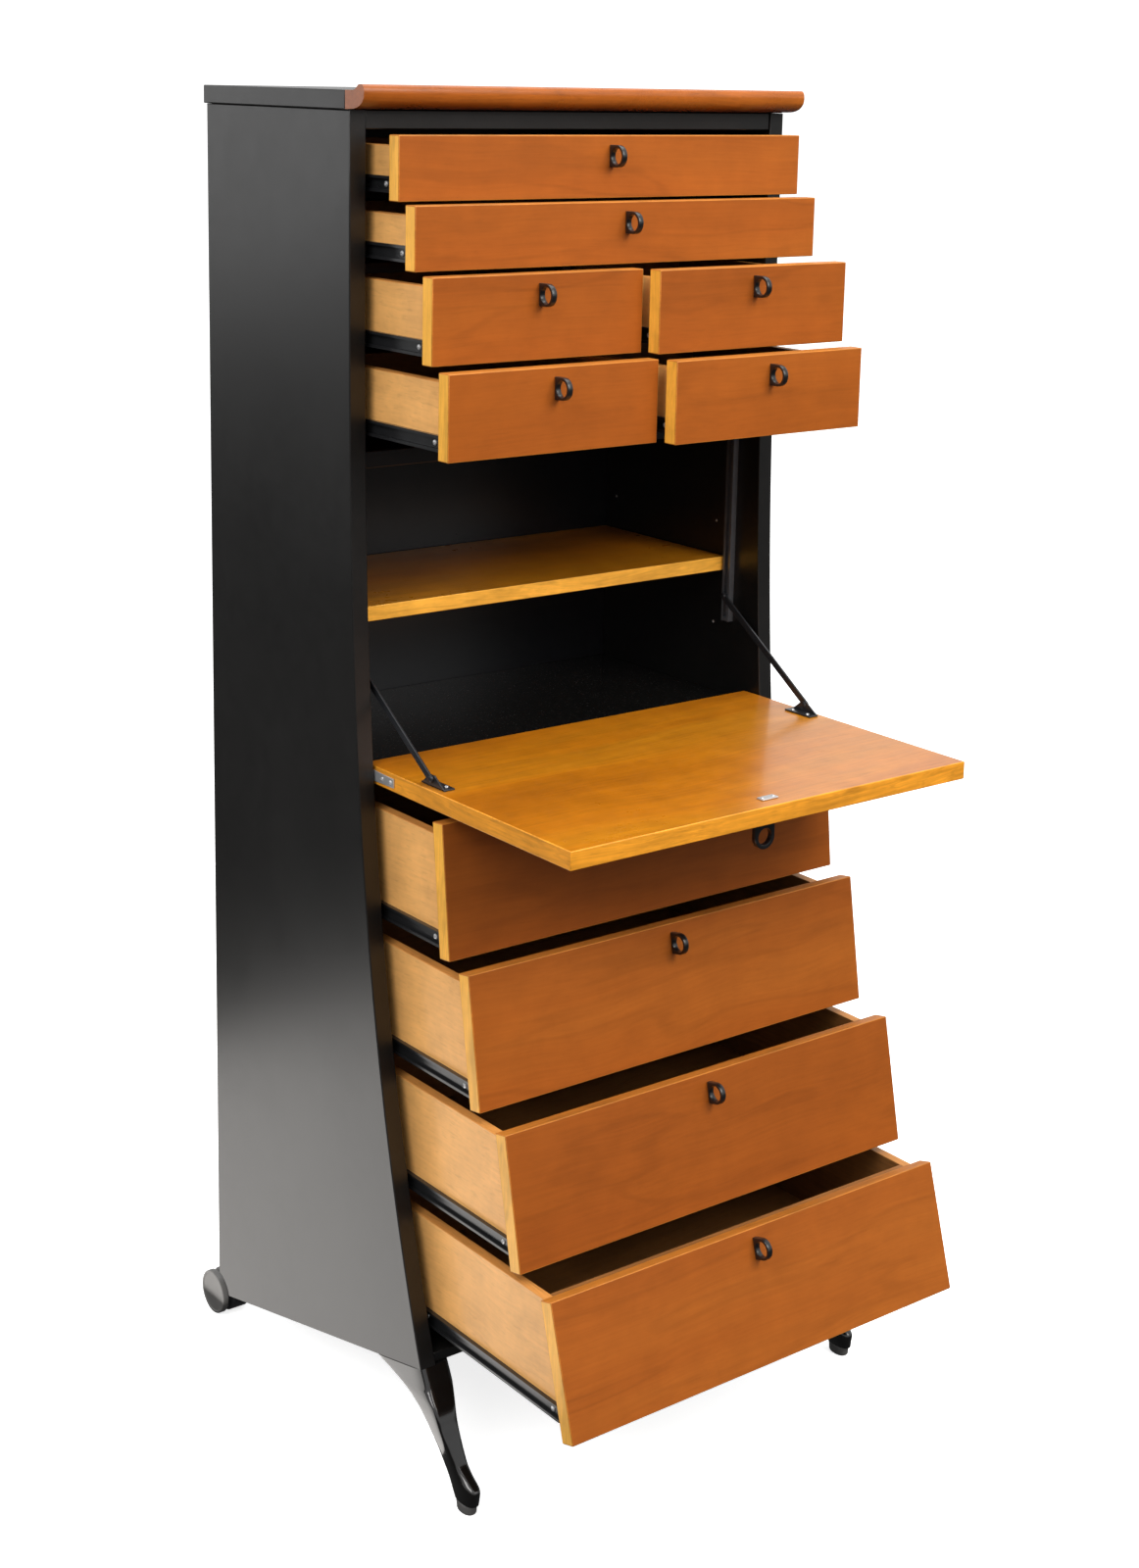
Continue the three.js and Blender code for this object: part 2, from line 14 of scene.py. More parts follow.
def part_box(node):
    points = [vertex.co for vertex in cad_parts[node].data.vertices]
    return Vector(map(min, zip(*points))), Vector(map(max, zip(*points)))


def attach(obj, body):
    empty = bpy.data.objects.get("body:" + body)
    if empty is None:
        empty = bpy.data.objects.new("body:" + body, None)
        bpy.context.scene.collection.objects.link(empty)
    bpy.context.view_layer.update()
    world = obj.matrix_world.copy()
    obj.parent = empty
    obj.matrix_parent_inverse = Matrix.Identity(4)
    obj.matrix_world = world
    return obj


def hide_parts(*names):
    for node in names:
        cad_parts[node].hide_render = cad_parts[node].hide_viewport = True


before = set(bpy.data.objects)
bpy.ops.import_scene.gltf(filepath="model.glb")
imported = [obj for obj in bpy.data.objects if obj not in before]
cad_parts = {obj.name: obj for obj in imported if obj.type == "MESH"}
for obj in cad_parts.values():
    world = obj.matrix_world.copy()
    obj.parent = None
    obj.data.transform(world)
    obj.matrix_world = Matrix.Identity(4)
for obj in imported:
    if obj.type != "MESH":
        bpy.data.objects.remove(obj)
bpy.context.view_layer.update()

bl_info = {
    "name": "Flared Chest",
    "version": (1, 0, 0),
    "blender": (4, 5, 0),
    "location": "View3D > Sidebar > Chest",
    "description": "Builds the finished pieces of a tall flared chest around its packed frame",
    "category": "Object",
}

MM = 0.001
PANEL_BACK = 296  # rear edge of the side panels
ORIGIN_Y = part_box("side_panel_left")[1].y - PANEL_BACK * MM
TO_ROW = Matrix.Translation((0, ORIGIN_Y, 0)) @ Matrix.Scale(MM, 4)

FLARE, FLARE_TOP, FLARE_BOTTOM, FLARE_POWER = 147.5, 1390, 144.8, 2.8
PANEL_TOP = 1488.5
PANEL_REAR_BOTTOM = 38
NOTCH = {"radius": 30.6, "y": 302, "z": 36}
BOARD = 18  # thickness of the drawer fronts
BOX_WALL = 12
BOX_FLOOR = 10
RUNNER_REACH = 5  # how far a drawer's runner stands out from its box
RUNNER_HEIGHT = 17
SPARE_PIN_HOLES = ((267.5, 993.8), (70.3, 993.8), (70.3, 866))  # y and z on the side panels
WALL = 279.7  # inner face of the side panels, less the fitting gap
SIDES = (("left", -1), ("right", 1))
DRAWERS = (
    "drawer_1", "drawer_2", "drawer_3_left", "drawer_3_right", "drawer_4_left",
    "drawer_4_right", "drawer_5", "drawer_6", "drawer_7", "drawer_8",
)
# The front leg from its toe up: height, then front, rear, outer and inner limits of the section.
LEG_SECTIONS = (
    (12.3, -225, -190.5, 288, 270.5), (20, -226, -185.5, 288.3, 269.5), (30, -226.5, -179.5, 288.7, 269.5),
    (38, -215.5, -175.5, 289.3, 270), (48, -203.5, -172.5, 290.6, 270.8), (60, -196, -169, 292.7, 271.5),
    (75, -188.7, -160.5, 295.3, 272), (88, -182, -150.5, 297.2, 271.5), (99, -177.3, -139.2, 298.7, 270.5),
    (108, -172.2, -123.5, 299.5, 268), (114, -166.8, -106, 299.9, 265), (120, -161.4, -78, 299.9, 262),
    (126, -157, -51, 299.9, 260), (147, -146, -46, 299.9, 260),
)


# ---- Settings ---------------------------------------------------------------------------------------


def length_setting(label, meaning, default):
    return bpy.props.FloatProperty(name=label, description=meaning, default=default, min=0, unit="LENGTH")


def colour_setting(label, meaning, default):
    return bpy.props.FloatVectorProperty(
        name=label, description=meaning, default=default, subtype="COLOR", size=3, min=0, max=1
    )


class ChestSizes(bpy.types.PropertyGroup):
    board_easing: length_setting("Board Easing", "Radius on the edges of the black boards", 0.0012)
    front_easing: length_setting("Front Easing", "Radius on the edges of the fronts and the flap", 0.001)
    box_easing: length_setting("Box Easing", "Radius on the edges of the drawer boxes", 0.0008)
    handle_easing: length_setting("Handle Easing", "Radius on the edges of the ring handles", 0.0009)
    screw_size: length_setting("Screw Size", "Radius of a runner screw's head", 0.0032)


class ChestColours(bpy.types.PropertyGroup):
    veneer_dark: colour_setting("Veneer Dark", "Darkest streaks of the fronts", (0.262, 0.062, 0.007))
    veneer_middle: colour_setting("Veneer Middle", "Main colour of the fronts", (0.325, 0.082, 0.009))
    veneer_light: colour_setting("Veneer Light", "Lightest streaks of the fronts", (0.385, 0.108, 0.013))
    panel_dark: colour_setting("Flap Dark", "Darkest streaks of the flap and shelf", (0.19, 0.048, 0.002))
    panel_middle: colour_setting("Flap Middle", "Main colour of the flap and shelf", (0.43, 0.134, 0.003))
    panel_light: colour_setting("Flap Light", "Lightest streaks of the flap and shelf", (0.62, 0.235, 0.008))
    edging: colour_setting("Edging", "Solid wood lipping on the ends of the boards", (0.82, 0.405, 0.052))
    lip: colour_setting("Lip", "Solid wood lipping on the top edges of the fronts", (0.46, 0.16, 0.022))
    box_wood: colour_setting("Box Wood", "Beech of the drawer boxes", (0.74, 0.38, 0.12))
    black: colour_setting("Black", "Black lacquer of the cabinet", (0.0045, 0.0042, 0.0040))


# ---- Node helpers -----------------------------------------------------------------------------------


def node(tree, kind, inputs=None, **settings):
    """One node, its settings, and its inputs by name or number: a socket is linked, a value is set."""
    made = tree.nodes.new(kind)
    for key, value in settings.items():
        setattr(made, key, value)
    for key, value in (inputs or {}).items():
        if isinstance(value, bpy.types.NodeSocket):
            tree.links.new(value, made.inputs[key])
        else:
            made.inputs[key].default_value = value
    return made


def math_node(tree, operation, first, second=0.0):
    return node(tree, "ShaderNodeMath", {0: first, 1: second}, operation=operation).outputs[0]


def spread(tree, value, low, high, new_low, new_high):
    """A value carried from one range to another, held inside it."""
    return node(
        tree,
        "ShaderNodeMapRange",
        {"Value": value, "From Min": low, "From Max": high, "To Min": new_low, "To Max": new_high},
    ).outputs[0]


def noise(tree, vector, scale, detail=2.0, roughness=0.5, distortion=0.0):
    return node(
        tree,
        "ShaderNodeTexNoise",
        {"Vector": vector, "Scale": scale, "Detail": detail, "Roughness": roughness, "Distortion": distortion},
    ).outputs["Fac"]


def blend_colours(tree, factor, first, second, kind="MIX"):
    return node(tree, "ShaderNodeMix", {0: factor, 6: first, 7: second}, data_type="RGBA", blend_type=kind).outputs[2]


def new_group(name, inputs, outputs):
    """A shader node group with named sockets; inputs give their kind and default."""
    tree = bpy.data.node_groups.new(name, "ShaderNodeTree")
    for label, kind, default in inputs:
        tree.interface.new_socket(label, in_out="INPUT", socket_type=kind).default_value = default
    for label, kind in outputs:
        tree.interface.new_socket(label, in_out="OUTPUT", socket_type=kind)
    return tree, tree.nodes.new("NodeGroupInput").outputs, tree.nodes.new("NodeGroupOutput").inputs


def wood_group():
    """Figure of sawn wood: broad cathedral bands, fine fibres, short dark pores, and their relief."""
    if "Wood Figure" in bpy.data.node_groups:
        return bpy.data.node_groups["Wood Figure"]
    tree, given, made = new_group(
        "Wood Figure",
        (
            ("Vector", "NodeSocketVector", (0, 0, 0)),
            ("Stretch", "NodeSocketVector", (0.1, 1, 1)),
            ("Figure Scale", "NodeSocketFloat", 9.0),
            ("Bands", "NodeSocketFloat", 8.0),
            ("Fibre Scale", "NodeSocketFloat", 260.0),
            ("Sway", "NodeSocketFloat", 0.06),
        ),
        (
            ("Figure", "NodeSocketFloat"),
            ("Rings", "NodeSocketFloat"),
            ("Mottle", "NodeSocketFloat"),
            ("Fibre", "NodeSocketFloat"),
            ("Pores", "NodeSocketFloat"),
            ("Height", "NodeSocketFloat"),
        ),
    )
    # the lines wander across the grain, so that they run in long sweeps and not dead straight
    sway = node(tree, "ShaderNodeTexNoise", {"Vector": given["Vector"], "Scale": 2.6, "Detail": 2.0}).outputs["Color"]
    sway = node(tree, "ShaderNodeVectorMath", {0: sway, 1: (0.5, 0.5, 0.5)}, operation="SUBTRACT").outputs[0]
    sway = node(tree, "ShaderNodeVectorMath", {0: sway, "Scale": given["Sway"]}, operation="SCALE").outputs[0]
    swayed = node(tree, "ShaderNodeVectorMath", {0: given["Vector"], 1: sway}, operation="ADD").outputs[0]
    drawn = node(tree, "ShaderNodeVectorMath", {0: swayed, 1: given["Stretch"]}, operation="MULTIPLY").outputs[0]
    finer = node(tree, "ShaderNodeVectorMath", {0: drawn, 1: given["Stretch"]}, operation="MULTIPLY").outputs[0]
    broad = noise(tree, drawn, given["Figure Scale"], 3.0, 0.55, 0.3)
    turns = math_node(tree, "MULTIPLY", broad, given["Bands"])
    rings = math_node(tree, "SINE", math_node(tree, "MULTIPLY", turns, 2 * math.pi))
    tree.links.new(broad, made["Figure"])
    tree.links.new(spread(tree, rings, 0.7, 1.0, 0, 1), made["Rings"])
    tree.links.new(noise(tree, given["Vector"], 28.0, 3.0, 0.6), made["Mottle"])
    fibre = noise(tree, finer, given["Fibre Scale"], 4.0, 0.62)
    flecks = noise(tree, drawn, math_node(tree, "MULTIPLY", given["Fibre Scale"], 1.3), 1.0, 0.4)
    pores = spread(tree, flecks, 0.60, 0.72, 0, 1)
    tree.links.new(fibre, made["Fibre"])
    tree.links.new(pores, made["Pores"])
    raised = math_node(tree, "MULTIPLY", fibre, 0.6)
    relief = math_node(tree, "SUBTRACT", raised, math_node(tree, "MULTIPLY", pores, 0.5))
    tree.links.new(relief, made["Height"])
    return tree


def handled_group():
    """A used surface: broad and small changes of gloss, a fine ripple, and a little dust on level faces."""
    if "Handled Surface" in bpy.data.node_groups:
        return bpy.data.node_groups["Handled Surface"]
    tree, given, made = new_group(
        "Handled Surface",
        (("Vector", "NodeSocketVector", (0, 0, 0)), ("Ripple Scale", "NodeSocketFloat", 300.0)),
        (("Gloss", "NodeSocketFloat"), ("Ripple", "NodeSocketFloat"), ("Dust", "NodeSocketFloat")),
    )
    broad = noise(tree, given["Vector"], 4.0, 3.0, 0.55)
    small = noise(tree, given["Vector"], 55.0, 3.0, 0.6)
    gloss = math_node(tree, "ADD", math_node(tree, "MULTIPLY", broad, 0.65), math_node(tree, "MULTIPLY", small, 0.35))
    tree.links.new(math_node(tree, "SUBTRACT", gloss, 0.5), made["Gloss"])
    tree.links.new(noise(tree, given["Vector"], given["Ripple Scale"], 2.0, 0.5), made["Ripple"])
    up = node(tree, "ShaderNodeSeparateXYZ", {0: tree.nodes.new("ShaderNodeNewGeometry").outputs["Normal"]}).outputs[2]
    specks = spread(tree, noise(tree, given["Vector"], 420.0, 2.0, 0.7), 0.56, 0.74, 0, 1)
    level = spread(tree, up, 0.6, 1.0, 0, 1)
    tree.links.new(math_node(tree, "MULTIPLY", specks, level), made["Dust"])
    return tree


def opaque(colour):
    return (*colour, 1.0)


def start_material(name):
    """An empty material: its tree, its Principled shader and the object's coordinates."""
    made = bpy.data.materials.new(name)
    made.use_nodes = True
    tree = made.node_tree
    shader = next(n for n in tree.nodes if n.type == "BSDF_PRINCIPLED")
    return made, tree, shader, node(tree, "ShaderNodeTexCoord").outputs["Object"]


def wood_material(name, along, tones, figure=9.0, bands=8.0, fibre=260.0, roughness=0.36, coat=0.25, relief=0.05,
                  fibre_depth=0.2, pore_depth=0.2, sheen=0.3, ring_depth=0.14, mottle_depth=0.1, sway=0.06, pull=0.16):
    """Lacquered wood whose grain runs along one axis. tones are its dark, middle and light colours."""
    made, tree, shader, place = start_material(name)
    stretch = tuple(pull if axis == along else 1.0 for axis in "XYZ")
    grain = node(tree, "ShaderNodeGroup", node_tree=wood_group())
    tree.links.new(place, grain.inputs["Vector"])
    drawing = {"Stretch": stretch, "Figure Scale": figure, "Bands": bands, "Fibre Scale": fibre, "Sway": sway}
    for label, value in drawing.items():
        grain.inputs[label].default_value = value
    handled = node(tree, "ShaderNodeGroup", node_tree=handled_group())
    tree.links.new(place, handled.inputs["Vector"])
    ramp = node(tree, "ShaderNodeValToRGB", {0: grain.outputs["Figure"]})
    ramp.color_ramp.elements[0].position = 0.26
    ramp.color_ramp.elements[0].color = opaque(tones[0])
    ramp.color_ramp.elements[1].position = 0.74
    ramp.color_ramp.elements[1].color = opaque(tones[2])
    ramp.color_ramp.elements.new(0.5).color = opaque(tones[1])
    streaks = spread(tree, grain.outputs["Fibre"], 0.32, 0.68, 1 - fibre_depth, 1 + fibre_depth * 0.7)
    colour = blend_colours(tree, 1.0, ramp.outputs["Color"], streaks, "MULTIPLY")
    lines = spread(tree, grain.outputs["Rings"], 0, 1, 1, 1 - ring_depth)
    colour = blend_colours(tree, 1.0, colour, lines, "MULTIPLY")
    mottle = spread(tree, grain.outputs["Mottle"], 0.3, 0.7, 1 - mottle_depth, 1 + mottle_depth)
    colour = blend_colours(tree, 1.0, colour, mottle, "MULTIPLY")
    pores = math_node(tree, "MULTIPLY", grain.outputs["Pores"], pore_depth)
    colour = blend_colours(tree, pores, colour, opaque([c * 0.35 for c in tones[0]]))
    specks = math_node(tree, "MULTIPLY", handled.outputs["Dust"], 0.05)
    colour = blend_colours(tree, specks, colour, opaque((0.6, 0.56, 0.5)))
    tree.links.new(colour, shader.inputs["Base Color"])
    gloss = math_node(tree, "MULTIPLY", handled.outputs["Gloss"], 0.22)
    rough = math_node(tree, "ADD", math_node(tree, "ADD", gloss, roughness), math_node(tree, "MULTIPLY", pores, 0.25))
    tree.links.new(rough, shader.inputs["Roughness"])
    bump = node(tree, "ShaderNodeBump", {"Strength": 0.35, "Distance": relief * MM, "Height": grain.outputs["Height"]})
    tree.links.new(bump.outputs[0], shader.inputs["Normal"])
    shader.inputs["Coat Weight"].default_value = coat
    shader.inputs["Coat Roughness"].default_value = 0.12
    shader.inputs["Specular IOR Level"].default_value = sheen
    return made


def lacquer_material(name, colour, roughness, coat=0.0, coat_roughness=0.1, ripple=0.02, dust=0.05, metal=0.0,
                     gloss_range=0.2, ripple_scale=300.0, grime=0.25):
    """A painted, enamelled, plated or moulded surface."""
    made, tree, shader, place = start_material(name)
    handled = node(tree, "ShaderNodeGroup", node_tree=handled_group())
    tree.links.new(place, handled.inputs["Vector"])
    handled.inputs["Ripple Scale"].default_value = ripple_scale
    tone = spread(tree, handled.outputs["Gloss"], -0.2, 0.2, 1 - grime, 1 + grime)
    shade = blend_colours(tree, 1.0, opaque(colour), tone, "MULTIPLY")
    specks = math_node(tree, "MULTIPLY", handled.outputs["Dust"], dust)
    shade = blend_colours(tree, specks, shade, opaque((0.45, 0.43, 0.4)))
    tree.links.new(shade, shader.inputs["Base Color"])
    rough = math_node(tree, "ADD", math_node(tree, "MULTIPLY", handled.outputs["Gloss"], gloss_range), roughness)
    rough = math_node(tree, "ADD", rough, math_node(tree, "MULTIPLY", specks, 2.0))
    tree.links.new(rough, shader.inputs["Roughness"])
    shader.inputs["Metallic"].default_value = metal
    shader.inputs["Coat Weight"].default_value = coat
    shader.inputs["Coat Roughness"].default_value = coat_roughness
    bump = node(tree, "ShaderNodeBump", {"Strength": 0.3, "Distance": ripple * MM, "Height": handled.outputs["Ripple"]})
    tree.links.new(bump.outputs[0], shader.inputs["Normal"])
    return made


def finish_named(name):
    """The finish of that name, made on first use from the scene's colours."""
    name = "finish_" + name
    if name in bpy.data.materials:
        return bpy.data.materials[name]
    hues = bpy.context.scene.chest_colours
    veneer = [tuple(getattr(hues, k)) for k in ("veneer_dark", "veneer_middle", "veneer_light")]
    panel = [tuple(getattr(hues, k)) for k in ("panel_dark", "panel_middle", "panel_light")]
    edge, box, black = tuple(hues.edging), tuple(hues.box_wood), tuple(hues.black)

    def tones(colour, dark, light):
        return [tuple(min(1, c * f) for c in colour) for f in (dark, 1.0, light)]

    lip = tuple(hues.lip)
    flap_edge = tones([edge[0] * 0.85, edge[1] * 0.68, edge[2] * 0.4], 0.8, 1.15)
    # painted shade: the end boards, bottoms and inner faces of the drawer boxes take darker copies of the beech,
    # standing in for the shade inside the boxes
    end_shade_tones = tones([box[0] * 0.34, box[1] * 0.27, box[2] * 0.22], 0.8, 1.1)
    inside_shade_tones = tones([box[0] * 0.3, box[1] * 0.24, box[2] * 0.2], 0.8, 1.1)
    box_top = tones([box[0] * 0.8, box[1] * 0.66, box[2] * 0.5], 0.85, 1.05)

    def flap_edging(along):
        return wood_material(name, along, flap_edge, 40.0, 4.0, 300.0, 0.4, 0.1, fibre_depth=0.2)

    def edging(along):
        return wood_material(
            name, along, tones(edge, 0.85, 1.1), 30.0, 3.0, 420.0, 0.42, 0.1, fibre_depth=0.12, pore_depth=0.1
        )

    makers = {
        "front_veneer": lambda: wood_material(
            name, "X", veneer, 6.5, 9.0, 300.0, 0.42, 0.05, fibre_depth=0.07, pore_depth=0.06, sheen=0.22,
            ring_depth=0.09, sway=0.045, pull=0.15, mottle_depth=0.06),
        "front_lip": lambda: wood_material(
            name, "X", tones(lip, 0.85, 1.1), 30.0, 3.0, 300.0, 0.42, 0.05, fibre_depth=0.12, pore_depth=0.1,
            sheen=0.25),
        "flap_veneer": lambda: wood_material(
            name, "X", panel, 6.0, 2.0, 240.0, 0.30, 0.3, fibre_depth=0.12, pore_depth=0.12, sheen=0.6, pull=0.1),
        "flap_lip": lambda: flap_edging("X"),
        "flap_end": lambda: flap_edging("Y"),
        "edging_upright": lambda: edging("Z"),
        "shelf_lip": lambda: edging("X"),
        "box_side_beech": lambda: wood_material(
            name, "Y", tones(box, 0.9, 1.08), 7.0, 3.0, 300.0, 0.45, 0.08, fibre_depth=0.07, pore_depth=0.14,
            ring_depth=0.05),
        # painted shade: darker copies of the box beech for the shaded insides of the drawers
        "painted_shade_end_beech": lambda: wood_material(
            name, "X", end_shade_tones, 7.0, 3.0, 300.0, 0.5, 0.0, fibre_depth=0.12, pore_depth=0.22),
        "painted_shade_inside_beech": lambda: wood_material(name, "Y", inside_shade_tones, 7.0, 3.0, 300.0, 0.5, 0.0),
        "box_top_beech": lambda: wood_material(name, "Y", box_top, 20.0, 3.0, 300.0, 0.45, 0.0, fibre_depth=0.14),
        "moulding_veneer": lambda: wood_material(
            name, "X", [tuple(c * 0.95 for c in t) for t in veneer], 6.0, 3.0, 260.0, 0.28, 0.3, fibre_depth=0.14),
        "satin_black": lambda: lacquer_material(name, black, 0.34, 0.15, 0.25, 0.02, 0.04),
        # painted shade: a darker, bluer copy of the cabinet black for the boards inside the cabinet, standing in for
        # their shade
        "painted_shade_black": lambda: lacquer_material(name, (0.003, 0.003, 0.0042), 0.3, 0.1, 0.25, 0.02, 0.06),
        "gloss_black": lambda: lacquer_material(name, black, 0.2, 0.6, 0.08, 0.015, 0.05, gloss_range=0.12),
        "handle_black": lambda: lacquer_material(name, (0.006, 0.006, 0.0065), 0.3, 0.3, 0.14, 0.03, 0.02),
        "runner_enamel": lambda: lacquer_material(name, (0.014, 0.0145, 0.016), 0.3, 0.3, 0.2, 0.03, 0.03, metal=0.2),
        # painted highlight: the same black iron as the stays made much lighter, standing in for the glints on the
        # tracks
        "painted_glint_iron": lambda: lacquer_material(name, (0.085, 0.09, 0.1), 0.3, 0.3, 0.2, 0.05, 0.03, metal=0.3),
        "black_iron": lambda: lacquer_material(name, (0.02, 0.021, 0.024), 0.3, 0.3, 0.2, 0.05, 0.03, metal=0.3),
        "zinc_steel": lambda: lacquer_material(
            name, (0.62, 0.62, 0.63), 0.34, 0.0, 0.1, 0.05, 0.02, metal=0.7, grime=0.12),
        "grey_plastic": lambda: lacquer_material(
            name, (0.12, 0.117, 0.113), 0.45, 0.0, 0.1, 0.06, 0.12, ripple_scale=600.0),
        "dark_plastic": lambda: lacquer_material(
            name, (0.025, 0.025, 0.027), 0.42, 0.0, 0.1, 0.06, 0.1, ripple_scale=600.0),
    }
    return makers[name.removeprefix("finish_")]()


# ---- Shape helpers ----------------------------------------------------------------------------------


def limits(node_name):
    """A CAD node's lowest and highest corners, in the cabinet's frame and in millimetres."""
    return tuple((corner - Vector((0, ORIGIN_Y, 0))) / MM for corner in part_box(node_name))


def front_edge(z):
    """y of the side panels' front edge at a height."""
    below = max(0, (FLARE_TOP - z) / (FLARE_TOP - FLARE_BOTTOM))
    return -FLARE * below**FLARE_POWER


def bottom_edge(y):
    """z of the side panels' sloping bottom edge at a depth."""
    slope = (FLARE_BOTTOM - PANEL_REAR_BOTTOM) / (FLARE + PANEL_BACK)
    return FLARE_BOTTOM - slope * (y + FLARE)


def append(shape, part):
    """Adds one small mesh to another and lets go of it."""
    carrier = bpy.data.meshes.new("carrier")
    part.to_mesh(carrier)
    part.free()
    shape.from_mesh(carrier)
    bpy.data.meshes.remove(carrier)


def slab(shape, low, high, easing=1.0, finishes=(0, 0, 0, 0), place=None):
    """A board with eased edges. finishes number the faces across X, Y and Z, and the eased edges."""
    part = bmesh.new()
    low, high = Vector(low), Vector(high)
    middle, spans = Matrix.Translation((low + high) / 2), Matrix.Diagonal((*(high - low), 1))
    bmesh.ops.create_cube(part, size=1, matrix=middle @ spans)
    if easing:
        bmesh.ops.bevel(part, geom=part.edges[:], offset=easing, segments=3, profile=0.5, affect="EDGES")
    part.normal_update()
    for face in part.faces:
        axis = max(range(3), key=lambda i: abs(face.normal[i]))
        is_flat = abs(face.normal[axis]) > 0.9995
        face.material_index = finishes[axis] if is_flat else finishes[3]
        face.smooth = not is_flat
    if place is not None:
        bmesh.ops.transform(part, matrix=place, verts=part.verts)
    append(shape, part)


def prism(shape, outline, x0, x1, easing=0.0, finishes=(0, 0), place=None, is_round=False):
    """An outline in (y, z) with a thickness along X. finishes number its two flat faces and its rim."""
    part = bmesh.new()
    near = [part.verts.new((x0, y, z)) for y, z in outline]
    far = [part.verts.new((x1, y, z)) for y, z in outline]
    caps = [part.faces.new(near), part.faces.new(far[::-1])]
    for face in caps:
        face.material_index = finishes[0]
    for i in range(len(outline)):
        j = (i + 1) % len(outline)
        rim = part.faces.new((near[i], near[j], far[j], far[i]))
        rim.material_index = finishes[1]
        rim.smooth = is_round
    bmesh.ops.recalc_face_normals(part, faces=part.faces)
    if easing:
        edges = list({edge for cap in caps for edge in cap.edges})
        made = bmesh.ops.bevel(part, geom=edges, offset=easing, segments=3, profile=0.5, affect="EDGES")
        for face in made["faces"]:
            face.material_index = finishes[1]
            face.smooth = True
    if place is not None:
        bmesh.ops.transform(part, matrix=place, verts=part.verts)
    append(shape, part)


def rings_skin(shape, rings, closed=False, caps=True, index=0, place=None):
    """A skin over rings of points with the same count; closed joins the last ring to the first."""
    part = bmesh.new()
    rows = [[part.verts.new(point) for point in ring] for ring in rings]
    count = len(rings[0])
    pairs = list(zip(rows, rows[1:])) + ([(rows[-1], rows[0])] if closed else [])
    for lower, upper in pairs:
        for i in range(count):
            j = (i + 1) % count
            part.faces.new((lower[i], lower[j], upper[j], upper[i])).smooth = True
    if caps and not closed:
        part.faces.new(rows[0][::-1])
        part.faces.new(rows[-1])
    bmesh.ops.remove_doubles(part, verts=part.verts, dist=0.0005)
    bmesh.ops.recalc_face_normals(part, faces=part.faces)
    for face in part.faces:
        face.material_index = index
    if place is not None:
        bmesh.ops.transform(part, matrix=place, verts=part.verts)
    append(shape, part)


def turned(shape, profile, centre, toward=(1, 0, 0), segments=48, index=0):
    """A turned part: (radius, distance) points spun about a line through centre."""
    place = Matrix.Translation(centre) @ Vector((0, 0, 1)).rotation_difference(Vector(toward)).to_matrix().to_4x4()
    rings = [
        [(r * math.cos(a), r * math.sin(a), along) for a in (2 * math.pi * i / segments for i in range(segments))]
        for r, along in profile
    ]
    rings_skin(shape, rings, index=index, place=place)


def soft_rectangle(x, y, z, half_x, half_y, power, count=40):
    """A ring with soft corners; power 2 is an ellipse, larger powers come closer to a rectangle."""
    ring = []
    for step in range(count):
        angle = (step + 0.5) / count * 2 * math.pi
        across, along = math.cos(angle), math.sin(angle)
        ring.append((
            x + half_x * math.copysign(abs(across) ** (2 / power), across),
            y + half_y * math.copysign(abs(along) ** (2 / power), along),
            z,
        ))
    return ring


def loose_object(name, shape):
    """An object with the mesh as it stands, not yet a piece."""
    mesh = bpy.data.meshes.new(name)
    shape.to_mesh(mesh)
    shape.free()
    made = bpy.data.objects.new(name, mesh)
    bpy.context.scene.collection.objects.link(made)
    return made


def settle(made):
    """Turns an object's evaluated shape into its plain mesh and takes its modifiers off."""
    bpy.context.view_layer.update()
    evaluated = made.evaluated_get(bpy.context.evaluated_depsgraph_get())
    mesh = bpy.data.meshes.new_from_object(evaluated)
    old = made.data
    made.modifiers.clear()
    made.data = mesh
    bpy.data.meshes.remove(old)
    return made


def discard(*objects):
    for made in objects:
        mesh = made.data
        bpy.data.objects.remove(made)
        bpy.data.meshes.remove(mesh)


def carve(made, *cutters):
    """Takes the cutters' shapes out of an object and removes them."""
    for cutter in cutters:
        cut = made.modifiers.new("cut", "BOOLEAN")
        cut.operation, cut.solver, cut.object = "DIFFERENCE", "EXACT", cutter
    settle(made)
    discard(*cutters)
    return made


def mark_sharp(mesh, angle=35):
    """Smooth shading that breaks at edges sharper than the angle."""
    shape = bmesh.new()
    shape.from_mesh(mesh)
    limit = math.radians(angle)
    for edge in shape.edges:
        edge.smooth = len(edge.link_faces) == 2 and edge.calc_face_angle(0) < limit
    shape.to_mesh(mesh)
    shape.free()


def finish_piece(name, source, finishes, body, nodes=(), in_row=False):
    """Makes a mesh or object into a piece of the chest, riding on a body and standing for CAD nodes."""
    made = source if isinstance(source, bpy.types.Object) else loose_object(name, source)
    made.name = name
    if not in_row:
        made.data.transform(TO_ROW)
    mark_sharp(made.data)
    for finish in finishes:  # a swept or scattered piece already carries its finish
        made.data.materials.append(finish_named(finish))
    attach(made, body)
    if nodes:
        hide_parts(*nodes)
    return made


# ---- Geometry node trees ----------------------------------------------------------------------------


def new_shape_tree(name, sockets):
    tree = bpy.data.node_groups.new(name, "GeometryNodeTree")
    tree.interface.new_socket("Geometry", in_out="INPUT", socket_type="NodeSocketGeometry")
    for label, kind in sockets:
        tree.interface.new_socket(label, in_out="INPUT", socket_type=kind)
    tree.interface.new_socket("Geometry", in_out="OUTPUT", socket_type="NodeSocketGeometry")
    return tree, tree.nodes.new("NodeGroupInput").outputs, tree.nodes.new("NodeGroupOutput").inputs


def end_tree(tree, geometry, material, result):
    real = node(tree, "GeometryNodeRealizeInstances", {"Geometry": geometry}).outputs[0]
    coloured = node(tree, "GeometryNodeSetMaterial", {"Geometry": real, "Material": material}).outputs[0]
    tree.links.new(coloured, result["Geometry"])


